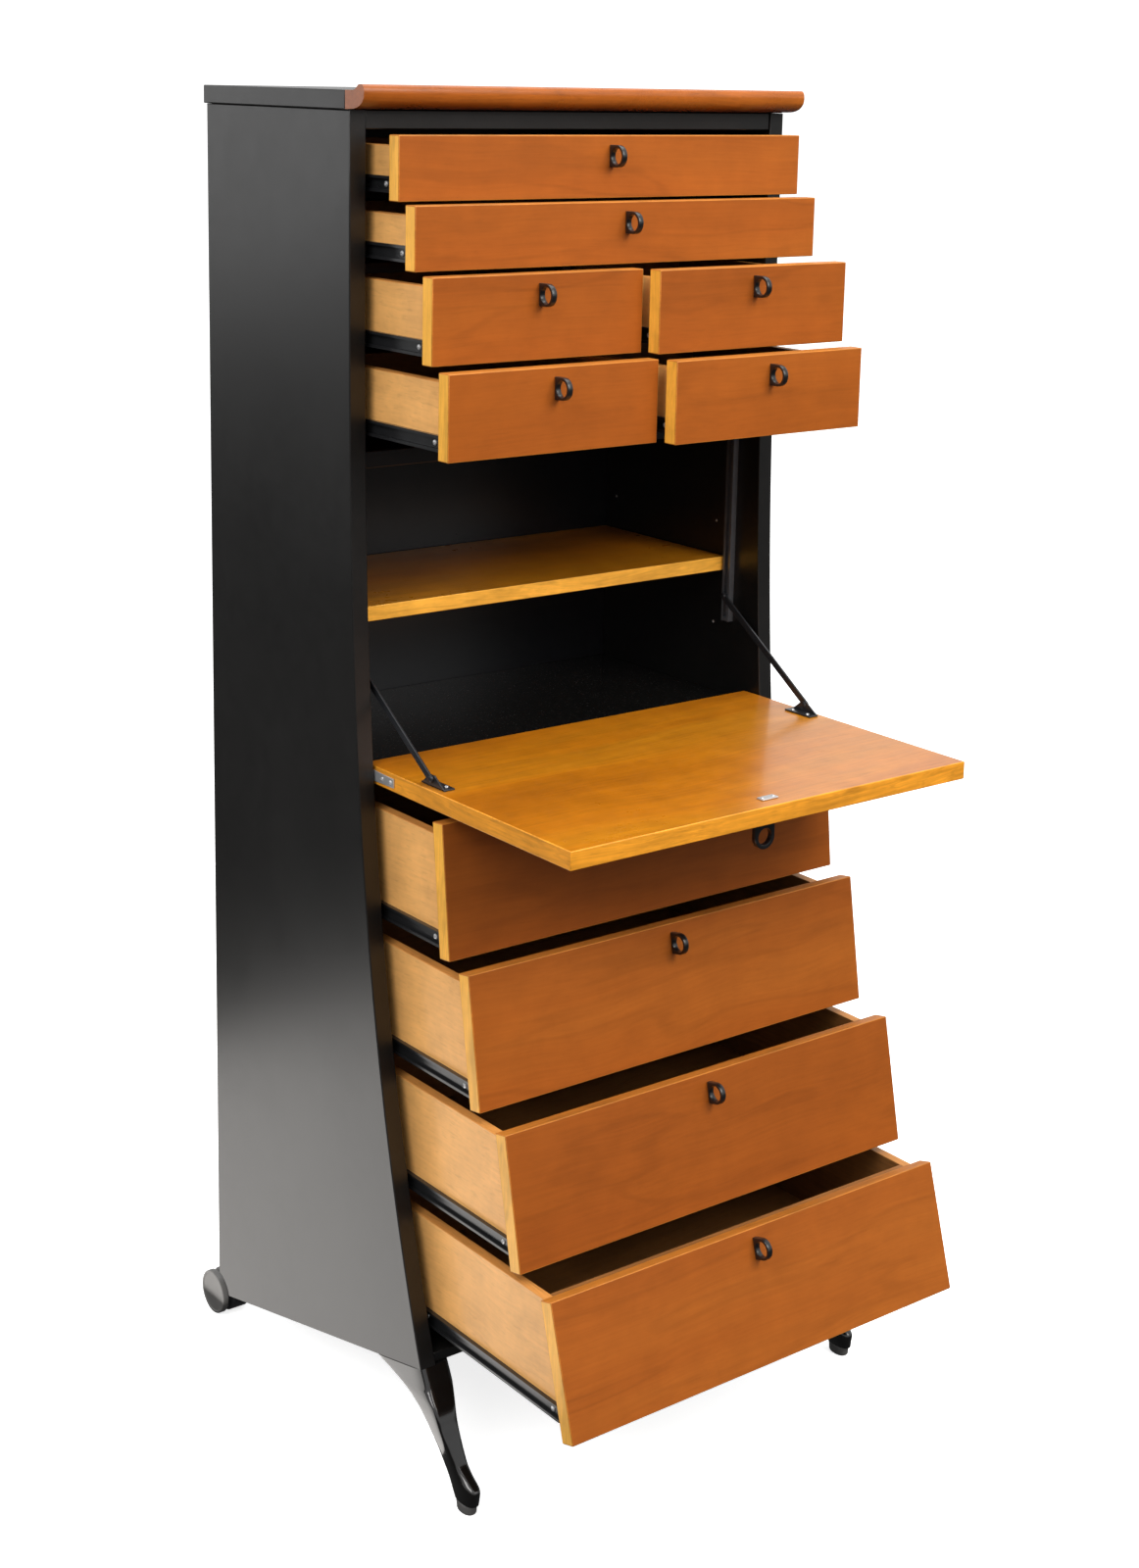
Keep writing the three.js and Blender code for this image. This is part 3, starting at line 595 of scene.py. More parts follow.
def sweep_tree():
    """A closed profile carried along every path of a mesh of edges, with its ends closed."""
    if "Profile Sweep" in bpy.data.node_groups:
        return bpy.data.node_groups["Profile Sweep"]
    tree, given, made = new_shape_tree(
        "Profile Sweep", (("Profile", "NodeSocketObject"), ("Material", "NodeSocketMaterial"))
    )
    path = node(tree, "GeometryNodeMeshToCurve", {"Mesh": given["Geometry"]}).outputs[0]
    drawn = node(tree, "GeometryNodeObjectInfo", {"Object": given["Profile"]}).outputs["Geometry"]
    profile = node(tree, "GeometryNodeMeshToCurve", {"Mesh": drawn}).outputs[0]
    swept = node(
        tree, "GeometryNodeCurveToMesh", {"Curve": path, "Profile Curve": profile, "Fill Caps": True}
    ).outputs[0]
    end_tree(tree, swept, given["Material"], made)
    return tree


def fastener_tree():
    """One fastener on every point, turned to the direction that the point carries."""
    if "Fasteners" in bpy.data.node_groups:
        return bpy.data.node_groups["Fasteners"]
    tree, given, made = new_shape_tree(
        "Fasteners",
        (("Fastener", "NodeSocketObject"), ("Size", "NodeSocketFloat"), ("Material", "NodeSocketMaterial")),
    )
    facing = node(tree, "GeometryNodeInputNamedAttribute", {"Name": "facing"}, data_type="FLOAT_VECTOR")
    turn = node(
        tree, "FunctionNodeAlignRotationToVector", {"Vector": facing.outputs["Attribute"]}, axis="Z"
    ).outputs[0]
    head = node(tree, "GeometryNodeObjectInfo", {"Object": given["Fastener"]}).outputs["Geometry"]
    placed = node(
        tree,
        "GeometryNodeInstanceOnPoints",
        {"Points": given["Geometry"], "Instance": head, "Rotation": turn, "Scale": given["Size"]},
    ).outputs[0]
    end_tree(tree, placed, given["Material"], made)
    return tree


def run_tree(made, tree, values):
    """Puts a node tree on an object, sets its named inputs, and keeps the result as a plain mesh."""
    modifier = made.modifiers.new(tree.name, "NODES")
    modifier.node_group = tree
    for item in tree.interface.items_tree:
        if item.item_type == "SOCKET" and item.in_out == "INPUT" and item.name in values:
            modifier[item.identifier] = values[item.name]
    settle(made)
    return made


def sweep(name, profile, paths, finish):
    """A profile of (right, up) points carried along straight paths, right being the right hand of the travel."""
    outline = bmesh.new()
    corners = [outline.verts.new((right, -up, 0)) for right, up in profile]
    for i, corner in enumerate(corners):
        outline.edges.new((corner, corners[(i + 1) % len(corners)]))
    drawn = loose_object("profile", outline)
    lines = bmesh.new()
    for start, end in paths:
        lines.edges.new((lines.verts.new(start), lines.verts.new(end)))
    made = loose_object(name, lines)
    run_tree(made, sweep_tree(), {"Profile": drawn, "Material": finish_named(finish)})
    discard(drawn)
    shape = bmesh.new()
    shape.from_mesh(made.data)
    bmesh.ops.remove_doubles(shape, verts=shape.verts, dist=0.001)
    bmesh.ops.recalc_face_normals(shape, faces=shape.faces)
    for face in shape.faces:
        face.smooth = False
    shape.to_mesh(made.data)
    shape.free()
    return made


def screw_head():
    """A low round head of unit radius with a cross-shaped drive sunk in it."""
    shape = bmesh.new()
    profile = ((0.0, -0.05), (0.92, -0.05), (1.0, 0.08), (0.9, 0.3), (0.62, 0.46), (0.36, 0.5), (0.3, 0.2), (0.0, 0.16))
    turned(shape, profile, (0, 0, 0), (0, 0, 1), segments=16)
    return loose_object("screw_head", shape)


def fasteners(name, points, size, finish, body):
    """Screw heads at (place, direction) pairs, all on one body. size is the head's radius in millimetres."""
    cloud = bmesh.new()
    for place, _ in points:
        cloud.verts.new(place)
    made = loose_object(name, cloud)
    facing = made.data.attributes.new("facing", "FLOAT_VECTOR", "POINT")
    for entry, (_, direction) in zip(facing.data, points):
        entry.vector = direction
    head = screw_head()
    run_tree(made, fastener_tree(), {"Fastener": head, "Size": size, "Material": finish_named(finish)})
    discard(head)
    return finish_piece(name, made, (), body)


# ---- Cabinet ----------------------------------------------------------------------------------------


def side_outline():
    points = [(0, PANEL_TOP)]
    steps = 60
    for step in range(steps + 1):
        z = FLARE_TOP + (FLARE_BOTTOM - FLARE_TOP) * step / steps
        points.append((front_edge(z), z))
    # the lower rear corner is cut away round the roller
    radius, cy, cz = NOTCH["radius"], NOTCH["y"], NOTCH["z"]
    arc = []
    for step in range(241):
        angle = math.pi * (1.25 - step / 240)
        y, z = cy + radius * math.cos(angle), cz + radius * math.sin(angle)
        if bottom_edge(y) < z and y < PANEL_BACK:
            arc.append((y, z))
    entry = arc[0][0]
    points.append((entry, bottom_edge(entry)))
    points += arc[1::6]
    points.append((PANEL_BACK, cz + math.sqrt(radius**2 - (PANEL_BACK - cy) ** 2)))
    points.append((PANEL_BACK, PANEL_TOP))
    return points


class CHEST_OT_side_panels(bpy.types.Operator):
    """Two black side panels with a flared front edge, a sloping foot and a notch for the roller"""

    bl_idname = "chest.side_panels"
    bl_label = "Side Panels"

    def execute(self, context):
        easing = context.scene.chest_sizes.board_easing / MM
        for side, sign in SIDES:
            shape = bmesh.new()
            x0, x1 = sorted((sign * 280, sign * 300))
            prism(shape, side_outline(), x0, x1, easing)
            finish_piece(f"{side}_side_panel", shape, ["satin_black"], "carcass", [f"side_panel_{side}"])
        return {"FINISHED"}


class CHEST_OT_cabinet_boards(bpy.types.Operator):
    """The black boards between the side panels, the top board and the back"""

    bl_idname = "chest.cabinet_boards"
    bl_label = "Cabinet Boards"

    def execute(self, context):
        easing = context.scene.chest_sizes.board_easing / MM
        # the back, the compartment ceiling and the dividers take the darker inner black, a painted shade
        boards = {
            "top_board": ("top_slab", "satin_black", easing),
            "top_rail": ("rail_under_top", "satin_black", 0.8),
            "back_panel": ("back_sheet", "painted_shade_black", 0.4),
            "bottom_board": ("bottom_shelf_board", "satin_black", 0.8),
            "compartment_floor": ("writing_floor", "gloss_black", 0.8),
            "compartment_ceiling": ("writing_ceiling", "painted_shade_black", 0.8),
            "divider_board": ("thin_divider", "painted_shade_black", 0.8),
            "centre_divider": ("upright_divider", "painted_shade_black", 0.8),
        }
        for cad, (name, finish, ease) in boards.items():
            shape = bmesh.new()
            slab(shape, *limits(cad), ease)
            finish_piece(name, shape, [finish], "carcass", [cad])
        return {"FINISHED"}


class CHEST_OT_crown(bpy.types.Operator):
    """The polished wood moulding across the front of the top"""

    bl_idname = "chest.crown"
    bl_label = "Crown Moulding"

    def execute(self, context):
        low, high = limits("top_moulding")
        back, bottom = high.y, low.z
        curves = (
            ((-11, 19.3), (-16, 20.3), (-20, 24.5)),
            ((-20, 24.5), (-24, 25.9), (-28, 24.9)),
            ((-28, 24.9), (-33, 22), (-31, 12)),
            ((-31, 12), (-27, 3), (-13, 0.8)),
            ((-13, 0.8), (-6, 0), (back, 0)),
        )
        profile = [(back, 0), (back, 19.3), (-11, 19.3)]
        steps = 10
        for start, pull, end in curves:
            for step in range(1, steps + 1):
                t = step / steps
                profile.append(tuple(
                    (1 - t) ** 2 * a + 2 * t * (1 - t) * b + t**2 * c for a, b, c in zip(start, pull, end)
                ))
        profile.pop()  # the last point is the first again
        # travelling to +X, the right hand is -Y
        made = sweep(
            "crown_moulding",
            [(-y, z) for y, z in profile],
            [((low.x, 0, bottom), (high.x, 0, bottom))],
            "moulding_veneer",
        )
        shape = bmesh.new()
        shape.from_mesh(made.data)
        for face in shape.faces:
            face.smooth = abs(face.normal.x) < 0.5
        shape.to_mesh(made.data)
        shape.free()
        finish_piece("crown_moulding", made, [], "carcass", ["top_moulding"])
        return {"FINISHED"}


class CHEST_OT_shelf(bpy.types.Operator):
    """The shelf in the writing compartment, its pins and their clips"""

    bl_idname = "chest.shelf"
    bl_label = "Shelf"

    def execute(self, context):
        low, high = limits("shelf")
        shape = bmesh.new()
        slab(shape, low, high, 0.9, (1, 1, 0, 1))
        finish_piece("inner_shelf", shape, ["flap_veneer", "shelf_lip"], "carcass", ["shelf"])
        shape = bmesh.new()
        for sign in (-1, 1):
            for y in (low.y + 35, high.y - 45):
                toward, seat = (-sign, 0, 0), (sign * WALL, y, low.z - 2.8)
                turned(shape, [(0, -1), (2.5, -1), (2.5, 7), (2.2, 7.6), (0, 7.6)], seat, toward, 20)
                turned(shape, [(0, -1), (4.2, -1), (4.2, 0.9), (3.6, 1.5), (0, 1.5)], seat, toward, 20)
        finish_piece("shelf_pins", shape, ["zinc_steel"], "carcass")
        # spare holes for the pins, each with a small steel bush
        spare = [((sign * WALL, y, z), (-sign, 0, 0)) for sign in (-1, 1) for y, z in SPARE_PIN_HOLES]
        fasteners("spare_pin_bushes", spare, 1.7, "zinc_steel", "carcass")
        return {"FINISHED"}


# ---- Legs and rollers -------------------------------------------------------------------------------


def leg_rings(sign):
    """The leg's sections with smooth ones between them."""
    rings = []
    last = len(LEG_SECTIONS) - 1
    steps = 5
    for i in range(last):
        around = [LEG_SECTIONS[min(max(k, 0), last)] for k in (i - 1, i, i + 1, i + 2)]
        for step in range(steps + (i == last - 1)):
            t = step / steps
            z, front, rear, outer, inner = (
                b + 0.5 * t * ((c - a) + t * ((2 * a - 5 * b + 4 * c - d) + t * (3 * (b - c) + d - a)))
                for a, b, c, d in zip(*around)
            )
            power = 2.5 if z < 40 else 2.5 + min(4.5, (z - 40) / 14)
            rings.append(soft_rectangle(
                sign * (outer + inner) / 2, (front + rear) / 2, z, (outer - inner) / 2, (rear - front) / 2, power
            ))
    return rings


class CHEST_OT_legs(bpy.types.Operator):
    """The swept front legs under the side panels, with their floor pads"""

    bl_idname = "chest.legs"
    bl_label = "Front Legs"

    def execute(self, context):
        for side, sign in SIDES:
            shape = bmesh.new()
            rings_skin(shape, leg_rings(sign))
            leg = loose_object("leg", shape)
            y0, y1 = -260, 0
            above = [(y0, bottom_edge(y0) - 0.3), (y1, bottom_edge(y1) - 0.3), (y1, 220), (y0, 220)]
            shape = bmesh.new()
            prism(shape, above, *sorted((sign * WALL, sign * 320)))
            outer = loose_object("outer", shape)
            shape = bmesh.new()
            x0, x1 = sorted((sign * 200, sign * (WALL + 1)))
            slab(shape, (x0, y0, 144.9), (x1, y1, 220), 0)
            carve(leg, outer, loose_object("inner", shape))
            finish_piece(f"{side}_front_leg", leg, ["gloss_black"], "carcass", [f"front_leg_{side}"])
            low, high = limits(f"foot_pad_{side}")
            x, y = (low.x + high.x) / 2, (low.y + high.y) / 2
            shape = bmesh.new()
            sizes = (
                (0, 7, 11.2), (0.4, 7.8, 12.3), (2.2, 8.4, 13.4), (8, 8.6, 13.8), (9, 8.9, 14.3), (11.6, 9, 14.6),
                (12, 8.8, 14.4),
            )
            rings_skin(shape, [soft_rectangle(x, y, z, a, b, 2.3) for z, a, b in sizes])
            finish_piece(f"{side}_foot_pad", shape, ["grey_plastic"], "carcass", [f"foot_pad_{side}"])
        return {"FINISHED"}


class CHEST_OT_rollers(bpy.types.Operator):
    """The grooved rear rollers; the welded axle keeps its own shape and gets its finish"""

    bl_idname = "chest.rollers"
    bl_label = "Rear Rollers"

    def execute(self, context):
        profile = (
            (0, 285), (6.5, 285), (6.5, 258), (24, 258), (26, 258.4), (27, 259.4), (27, 280), (26.4, 280.7),
            (23.6, 281.1), (23, 281.8), (23, 286.4), (23.6, 287.3), (26.4, 288), (27, 288.8), (27, 294.6),
            (26.6, 295.6), (25.8, 296), (24.2, 296), (23.8, 295.6), (23.4, 295.2), (0, 295.2),
        )
        for side, sign in SIDES:
            low, high = limits(f"rear_roller_{side}")
            centre = (0, (low.y + high.y) / 2, (low.z + high.z) / 2)
            shape = bmesh.new()
            turned(shape, profile, centre, (sign, 0, 0), 72)
            for face in shape.faces:
                face.material_index = 1 if abs(face.calc_center_median().x) > 288.5 else 0
            finish_piece(
                f"{side}_rear_roller", shape, ["dark_plastic", "grey_plastic"], f"roller_{side}",
                [f"rear_roller_{side}"],
            )
        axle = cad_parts["rear_axle"]
        axle.data.materials.clear()
        axle.data.materials.append(finish_named("black_iron"))
        return {"FINISHED"}


# ---- Handles ----------------------------------------------------------------------------------------


def ring_handle(shape, place, easing, height, reach, thickness, hole, eye):
    """A D-shaped ring: flat against y = 0, round towards -y, with its eye running along X."""
    half = height / 2
    arc = reach - half
    corner = math.atan2(half, -eye)
    shoulder = math.atan2(half, arc - eye)
    turns = sorted(
        {2 * math.pi * i / 72 for i in range(72)}
        | {corner, 2 * math.pi - corner, shoulder % (2 * math.pi), -shoulder % (2 * math.pi)}
    )
    rings = []
    for angle in turns:
        c, s = math.cos(angle), math.sin(angle)
        outer = rim_distance(angle, half, arc, eye)
        wide = min(easing, (outer - hole) * 0.42)
        slim = wide * 0.6
        t = thickness / 2
        section = []
        corners = ((hole, -1, slim, 1), (outer, -1, wide, -1), (outer, 1, wide, -1), (hole, 1, slim, 1))
        for radius, side, ease, inward in corners:
            corner_points = [
                (radius + inward * ease * (1 - math.sin(q)), side * (t - ease * (1 - math.cos(q))))
                for q in (math.pi / 2, math.pi / 4, 0)
            ]
            if (side < 0) == (inward < 0):
                corner_points.reverse()
            section += corner_points
        rings.append([(x, -(eye + r * c), r * s) for r, x in section])
    rings_skin(shape, rings, closed=True, place=place)


def rim_distance(angle, half, arc, eye):
    """How far the D's rim lies from the middle of the eye in one direction."""
    c, s = math.cos(angle), math.sin(angle)
    b = (eye - arc) * c
    reach = -b + math.sqrt(max(0, b * b - (eye - arc) ** 2 + half * half))
    if eye + reach * c < arc:  # the direction meets the straight sides or the flat foot
        reach = half / abs(s) if abs(s) > 1e-9 else 1e9
        if c < -1e-9:
            reach = min(reach, -eye / c)
    return reach


# ---- Drawers ----------------------------------------------------------------------------------------


def front_plane(name):
    """How a front stands: y and z of its top front corner, its lean back, and its length down the slope."""
    corners = [(v.co - Vector((0, ORIGIN_Y, 0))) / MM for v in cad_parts[name].data.vertices]
    top = max(c.z for c in corners)
    y_top = min(c.y for c in corners if c.z > top - 0.05)
    front = min(c.y for c in corners)
    z_low = min(c.z for c in corners if c.y < front + 0.05)
    lean = math.atan2(y_top - front, top - z_low)
    return y_top, top, lean, math.hypot(y_top - front, top - z_low)


def drawer_layout(drawer):
    """The places that a drawer's pieces share."""
    y_top, z_top, lean, length = front_plane(f"{drawer}_front")
    low, high = limits(f"{drawer}_box")
    back_at_top = y_top + BOARD / math.cos(lean)
    return {
        "place": Matrix.Translation((0, y_top, z_top)) @ Matrix.Rotation(-lean, 4, "X"),
        "length": length,
        "x0": low.x + RUNNER_REACH,
        "x1": high.x - RUNNER_REACH,
        "z0": low.z,
        "z1": high.z,
        "rear": high.y,
        "behind": lambda z: back_at_top - (z_top - z) * math.tan(lean),
    }


class CHEST_OT_drawer_fronts(bpy.types.Operator):
    """Veneered drawer fronts with solid lippings"""

    bl_idname = "chest.drawer_fronts"
    bl_label = "Drawer Fronts"

    def execute(self, context):
        easing = context.scene.chest_sizes.front_easing / MM
        for drawer in DRAWERS:
            layout = drawer_layout(drawer)
            low, high = limits(f"{drawer}_front")
            shape = bmesh.new()
            slab(shape, (low.x, 0, -layout["length"]), (high.x, BOARD, 0), easing, (1, 0, 2, 2), layout["place"])
            finish_piece(
                f"{drawer}_face", shape, ["front_veneer", "edging_upright", "front_lip"], drawer,
                [f"{drawer}_front"],
            )
        return {"FINISHED"}


class CHEST_OT_drawer_boxes(bpy.types.Operator):
    """Open beech boxes behind the fronts: two sides, an inner front, a back and a bottom"""

    bl_idname = "chest.drawer_boxes"
    bl_label = "Drawer Boxes"

    def execute(self, context):
        easing = context.scene.chest_sizes.box_easing / MM
        for drawer in DRAWERS:
            at = drawer_layout(drawer)
            x0, x1, z0, z1, rear, behind = (at[k] for k in ("x0", "x1", "z0", "z1", "rear", "behind"))
            shape = bmesh.new()
            side = [(behind(z0) + 0.3, z0), (rear, z0), (rear, z1), (behind(z1) + 0.3, z1)]
            prism(shape, side, x0, x0 + BOX_WALL, easing, (0, 1))
            prism(shape, side, x1 - BOX_WALL, x1, easing, (0, 1))
            inner = [
                (behind(z0) + 0.4, z0), (behind(z0) + BOX_WALL, z0), (behind(z1) + BOX_WALL, z1), (behind(z1) + 0.4, z1)
            ]
            prism(shape, inner, x0 + BOX_WALL, x1 - BOX_WALL, 0, (2, 2))
            back_low, back_high = (x0 + BOX_WALL, rear - BOX_WALL, z0), (x1 - BOX_WALL, rear - 0.4, z1 - 0.3)
            slab(shape, back_low, back_high, easing, (2, 2, 2, 2))
            floor = z0 + BOX_FLOOR
            bottom = [
                (behind(z0) + BOX_WALL, z0 + 2), (rear - BOX_WALL, z0 + 2), (rear - BOX_WALL, floor),
                (behind(floor) + BOX_WALL, floor),
            ]
            prism(shape, bottom, x0 + BOX_WALL, x1 - BOX_WALL, 0, (2, 2))
            # painted shade: the inner faces of the sides (3) and the inner front, back and bottom (2) take the darker
            # beech, standing in for the shade inside the box
            for face in shape.faces:
                middle = face.calc_center_median()
                if abs(face.normal.x) > 0.7 and x0 + 2 < middle.x < x1 - 2:
                    face.material_index = 3
            woods = ["box_side_beech", "box_top_beech", "painted_shade_end_beech", "painted_shade_inside_beech"]
            finish_piece(
                f"{drawer}_body", shape, woods, drawer,
                [f"{drawer}_box"],
            )
        return {"FINISHED"}


class CHEST_OT_runners(bpy.types.Operator):
    """Folded runner members on the boxes and in the cabinet, and the screws that hold them"""

    bl_idname = "chest.runners"
    bl_label = "Runners"

    def execute(self, context):
        size = context.scene.chest_sizes.screw_size / MM
        member = (
            (0, 0), (-5, 0), (-5, 3), (-4, 3), (-4, 1.1), (-1.2, 1.1), (-1.2, 15.9), (-4, 15.9), (-4, 14), (-5, 14),
            (-5, 17), (0, 17),
        )
        fixed = (
            (0, 0.6), (6.9, 0.6), (6.9, 3.2), (5.8, 3.2), (5.8, 1.8), (1.3, 1.8), (1.3, 15.2), (5.8, 15.2), (5.8, 13.8),
            (6.9, 13.8), (6.9, 16.4), (0, 16.4),
        )
        narrow = [(min(r, 6.5) if r > 5.8 else min(r, 5.4), up) for r, up in fixed]
        wall_paths, middle_paths, wall_screws = [], [], []
        for drawer in DRAWERS:
            at = drawer_layout(drawer)
            x0, x1, z0, rear, behind = (at[k] for k in ("x0", "x1", "z0", "rear", "behind"))
            front = behind(z0 + RUNNER_HEIGHT) + 2.2
            made = sweep(
                f"{drawer}_slides",
                member,
                [((x0, front, z0), (x0, rear, z0)), ((x1, rear, z0), (x1, front, z0))],
                "runner_enamel",
            )
            finish_piece(f"{drawer}_slides", made, [], drawer)
            middle = z0 + RUNNER_HEIGHT / 2
            screws = []
            for x, toward in ((x0 - 1.2, -1), (x1 + 1.2, 1)):
                for y in (front + 14, front + 0.62 * (rear - front), rear - 40):
                    screws.append(((x, y, middle), (toward, 0, 0)))
            fasteners(f"{drawer}_slide_screws", screws, size, "zinc_steel", drawer)
            travel = 279 - rear
            start, end = front + travel + 4, 279
            for x, toward in ((x0, -1), (x1, 1)):
                if abs(x) > 200:
                    path = ((toward * WALL, start, z0), (toward * WALL, end, z0))
                    wall_paths.append(path if toward < 0 else path[::-1])
                    for y in (start + 12, end - 30):
                        wall_screws.append(((toward * (WALL - 1.3), y, middle), (-toward, 0, 0)))
                else:
                    path = ((-toward * 6.1, start, z0), (-toward * 6.1, end, z0))
                    middle_paths.append(path if toward < 0 else path[::-1])
        made = sweep("wall_slides", fixed, wall_paths, "runner_enamel")
        finish_piece("wall_slides", made, [], "carcass")
        made = sweep("divider_slides", narrow, middle_paths, "runner_enamel")
        finish_piece("divider_slides", made, [], "carcass")
        fasteners("wall_slide_screws", wall_screws, size, "zinc_steel", "carcass")
        return {"FINISHED"}


class CHEST_OT_handles(bpy.types.Operator):
    """Black ring handles on the fronts and under the flap"""

    bl_idname = "chest.handles"
    bl_label = "Handles"

    def execute(self, context):
        easing = context.scene.chest_sizes.handle_easing / MM
        for drawer in DRAWERS:
            low, high = limits(f"{drawer}_handle")
            place = drawer_layout(drawer)["place"] @ Matrix.Translation(((low.x + high.x) / 2, -0.05, -22))
            shape = bmesh.new()
            ring_handle(shape, place, easing, 24, 23.5, 6.5, 9, 11.6)
            finish_piece(f"{drawer}_ring", shape, ["handle_black"], drawer, [f"{drawer}_handle"])
        low, high = limits("flap_handle")
        middle = (low + high) / 2
        # the flap's ring hangs down, its eye running from front to back
        turn = Matrix(((0, 0, 1, 0), (1, 0, 0, 0), (0, 1, 0, 0), (0, 0, 0, 1)))
        place = Matrix.Translation((middle.x, middle.y, high.z + 0.25)) @ turn
        shape = bmesh.new()
        ring_handle(shape, place, easing, 27, 36, 6.5, 9.3, 22)
        finish_piece("flap_ring", shape, ["handle_black"], "flap", ["flap_handle"])
        return {"FINISHED"}


# ---- Flap and stays ---------------------------------------------------------------------------------


class CHEST_OT_flap(bpy.types.Operator):
    """The drop-down writing flap, its hinge plates and its catch plate"""

    bl_idname = "chest.flap"
    bl_label = "Writing Flap"

    def execute(self, context):
        easing = context.scene.chest_sizes.front_easing / MM
        low, high = limits("flap")
        shape = bmesh.new()
        slab(shape, low, high, easing, (2, 1, 0, 1))
        shape.normal_update()
        for face in shape.faces:
            if face.normal.z < -0.9:
                face.material_index = 3  # the outside, which lines up with the fronts when the flap is shut
        woods = ["flap_veneer", "flap_lip", "flap_end", "front_veneer"]
        finish_piece("writing_flap", shape, woods, "flap", ["flap"])
        low, high = limits("flap_catch_plate")
        shape = bmesh.new()
        slab(shape, low, high, 0.5)
        finish_piece("catch_plate", shape, ["zinc_steel"], "flap", ["flap_catch_plate"])
        screws = [((x, (low.y + high.y) / 2, high.z - 0.2), (0, 0, 1)) for x in (-7.5, 7.5)]
        fasteners("catch_plate_screws", screws, 1.9, "zinc_steel", "flap")
        screws = []
        for side, sign in SIDES:
            low, high = limits(f"flap_hinge_plate_{side}")
            z = (low.z + high.z) / 2
            leaf = [(-12 + 6 * math.cos(a), z + 6 * math.sin(a)) for a in (math.pi * (k / 12 - 0.5) for k in range(13))]
            leaf += [(low.y, z + 5), (low.y, z - 5)]
            shape = bmesh.new()
            prism(shape, leaf, low.x, high.x, 0.35)
            finish_piece(
                f"{side}_hinge_plate", shape, ["zinc_steel"], "flap", [f"flap_hinge_plate_{side}"]
            )
            outside = high.x if sign > 0 else low.x
            screws += [((outside, y, z), (sign, 0, 0)) for y in (-48, -32)]
        fasteners("hinge_plate_screws", screws, 2.4, "zinc_steel", "flap")
        return {"FINISHED"}


def bar_outline(length, half, steps=14):
    far = [math.pi * (k / steps - 0.5) for k in range(steps + 1)]
    near = [math.pi * (k / steps + 0.5) for k in range(steps + 1)]
    points = [(length + half * math.cos(a), half * math.sin(a)) for a in far]
    points += [(half * math.cos(a), half * math.sin(a)) for a in near]
    return points


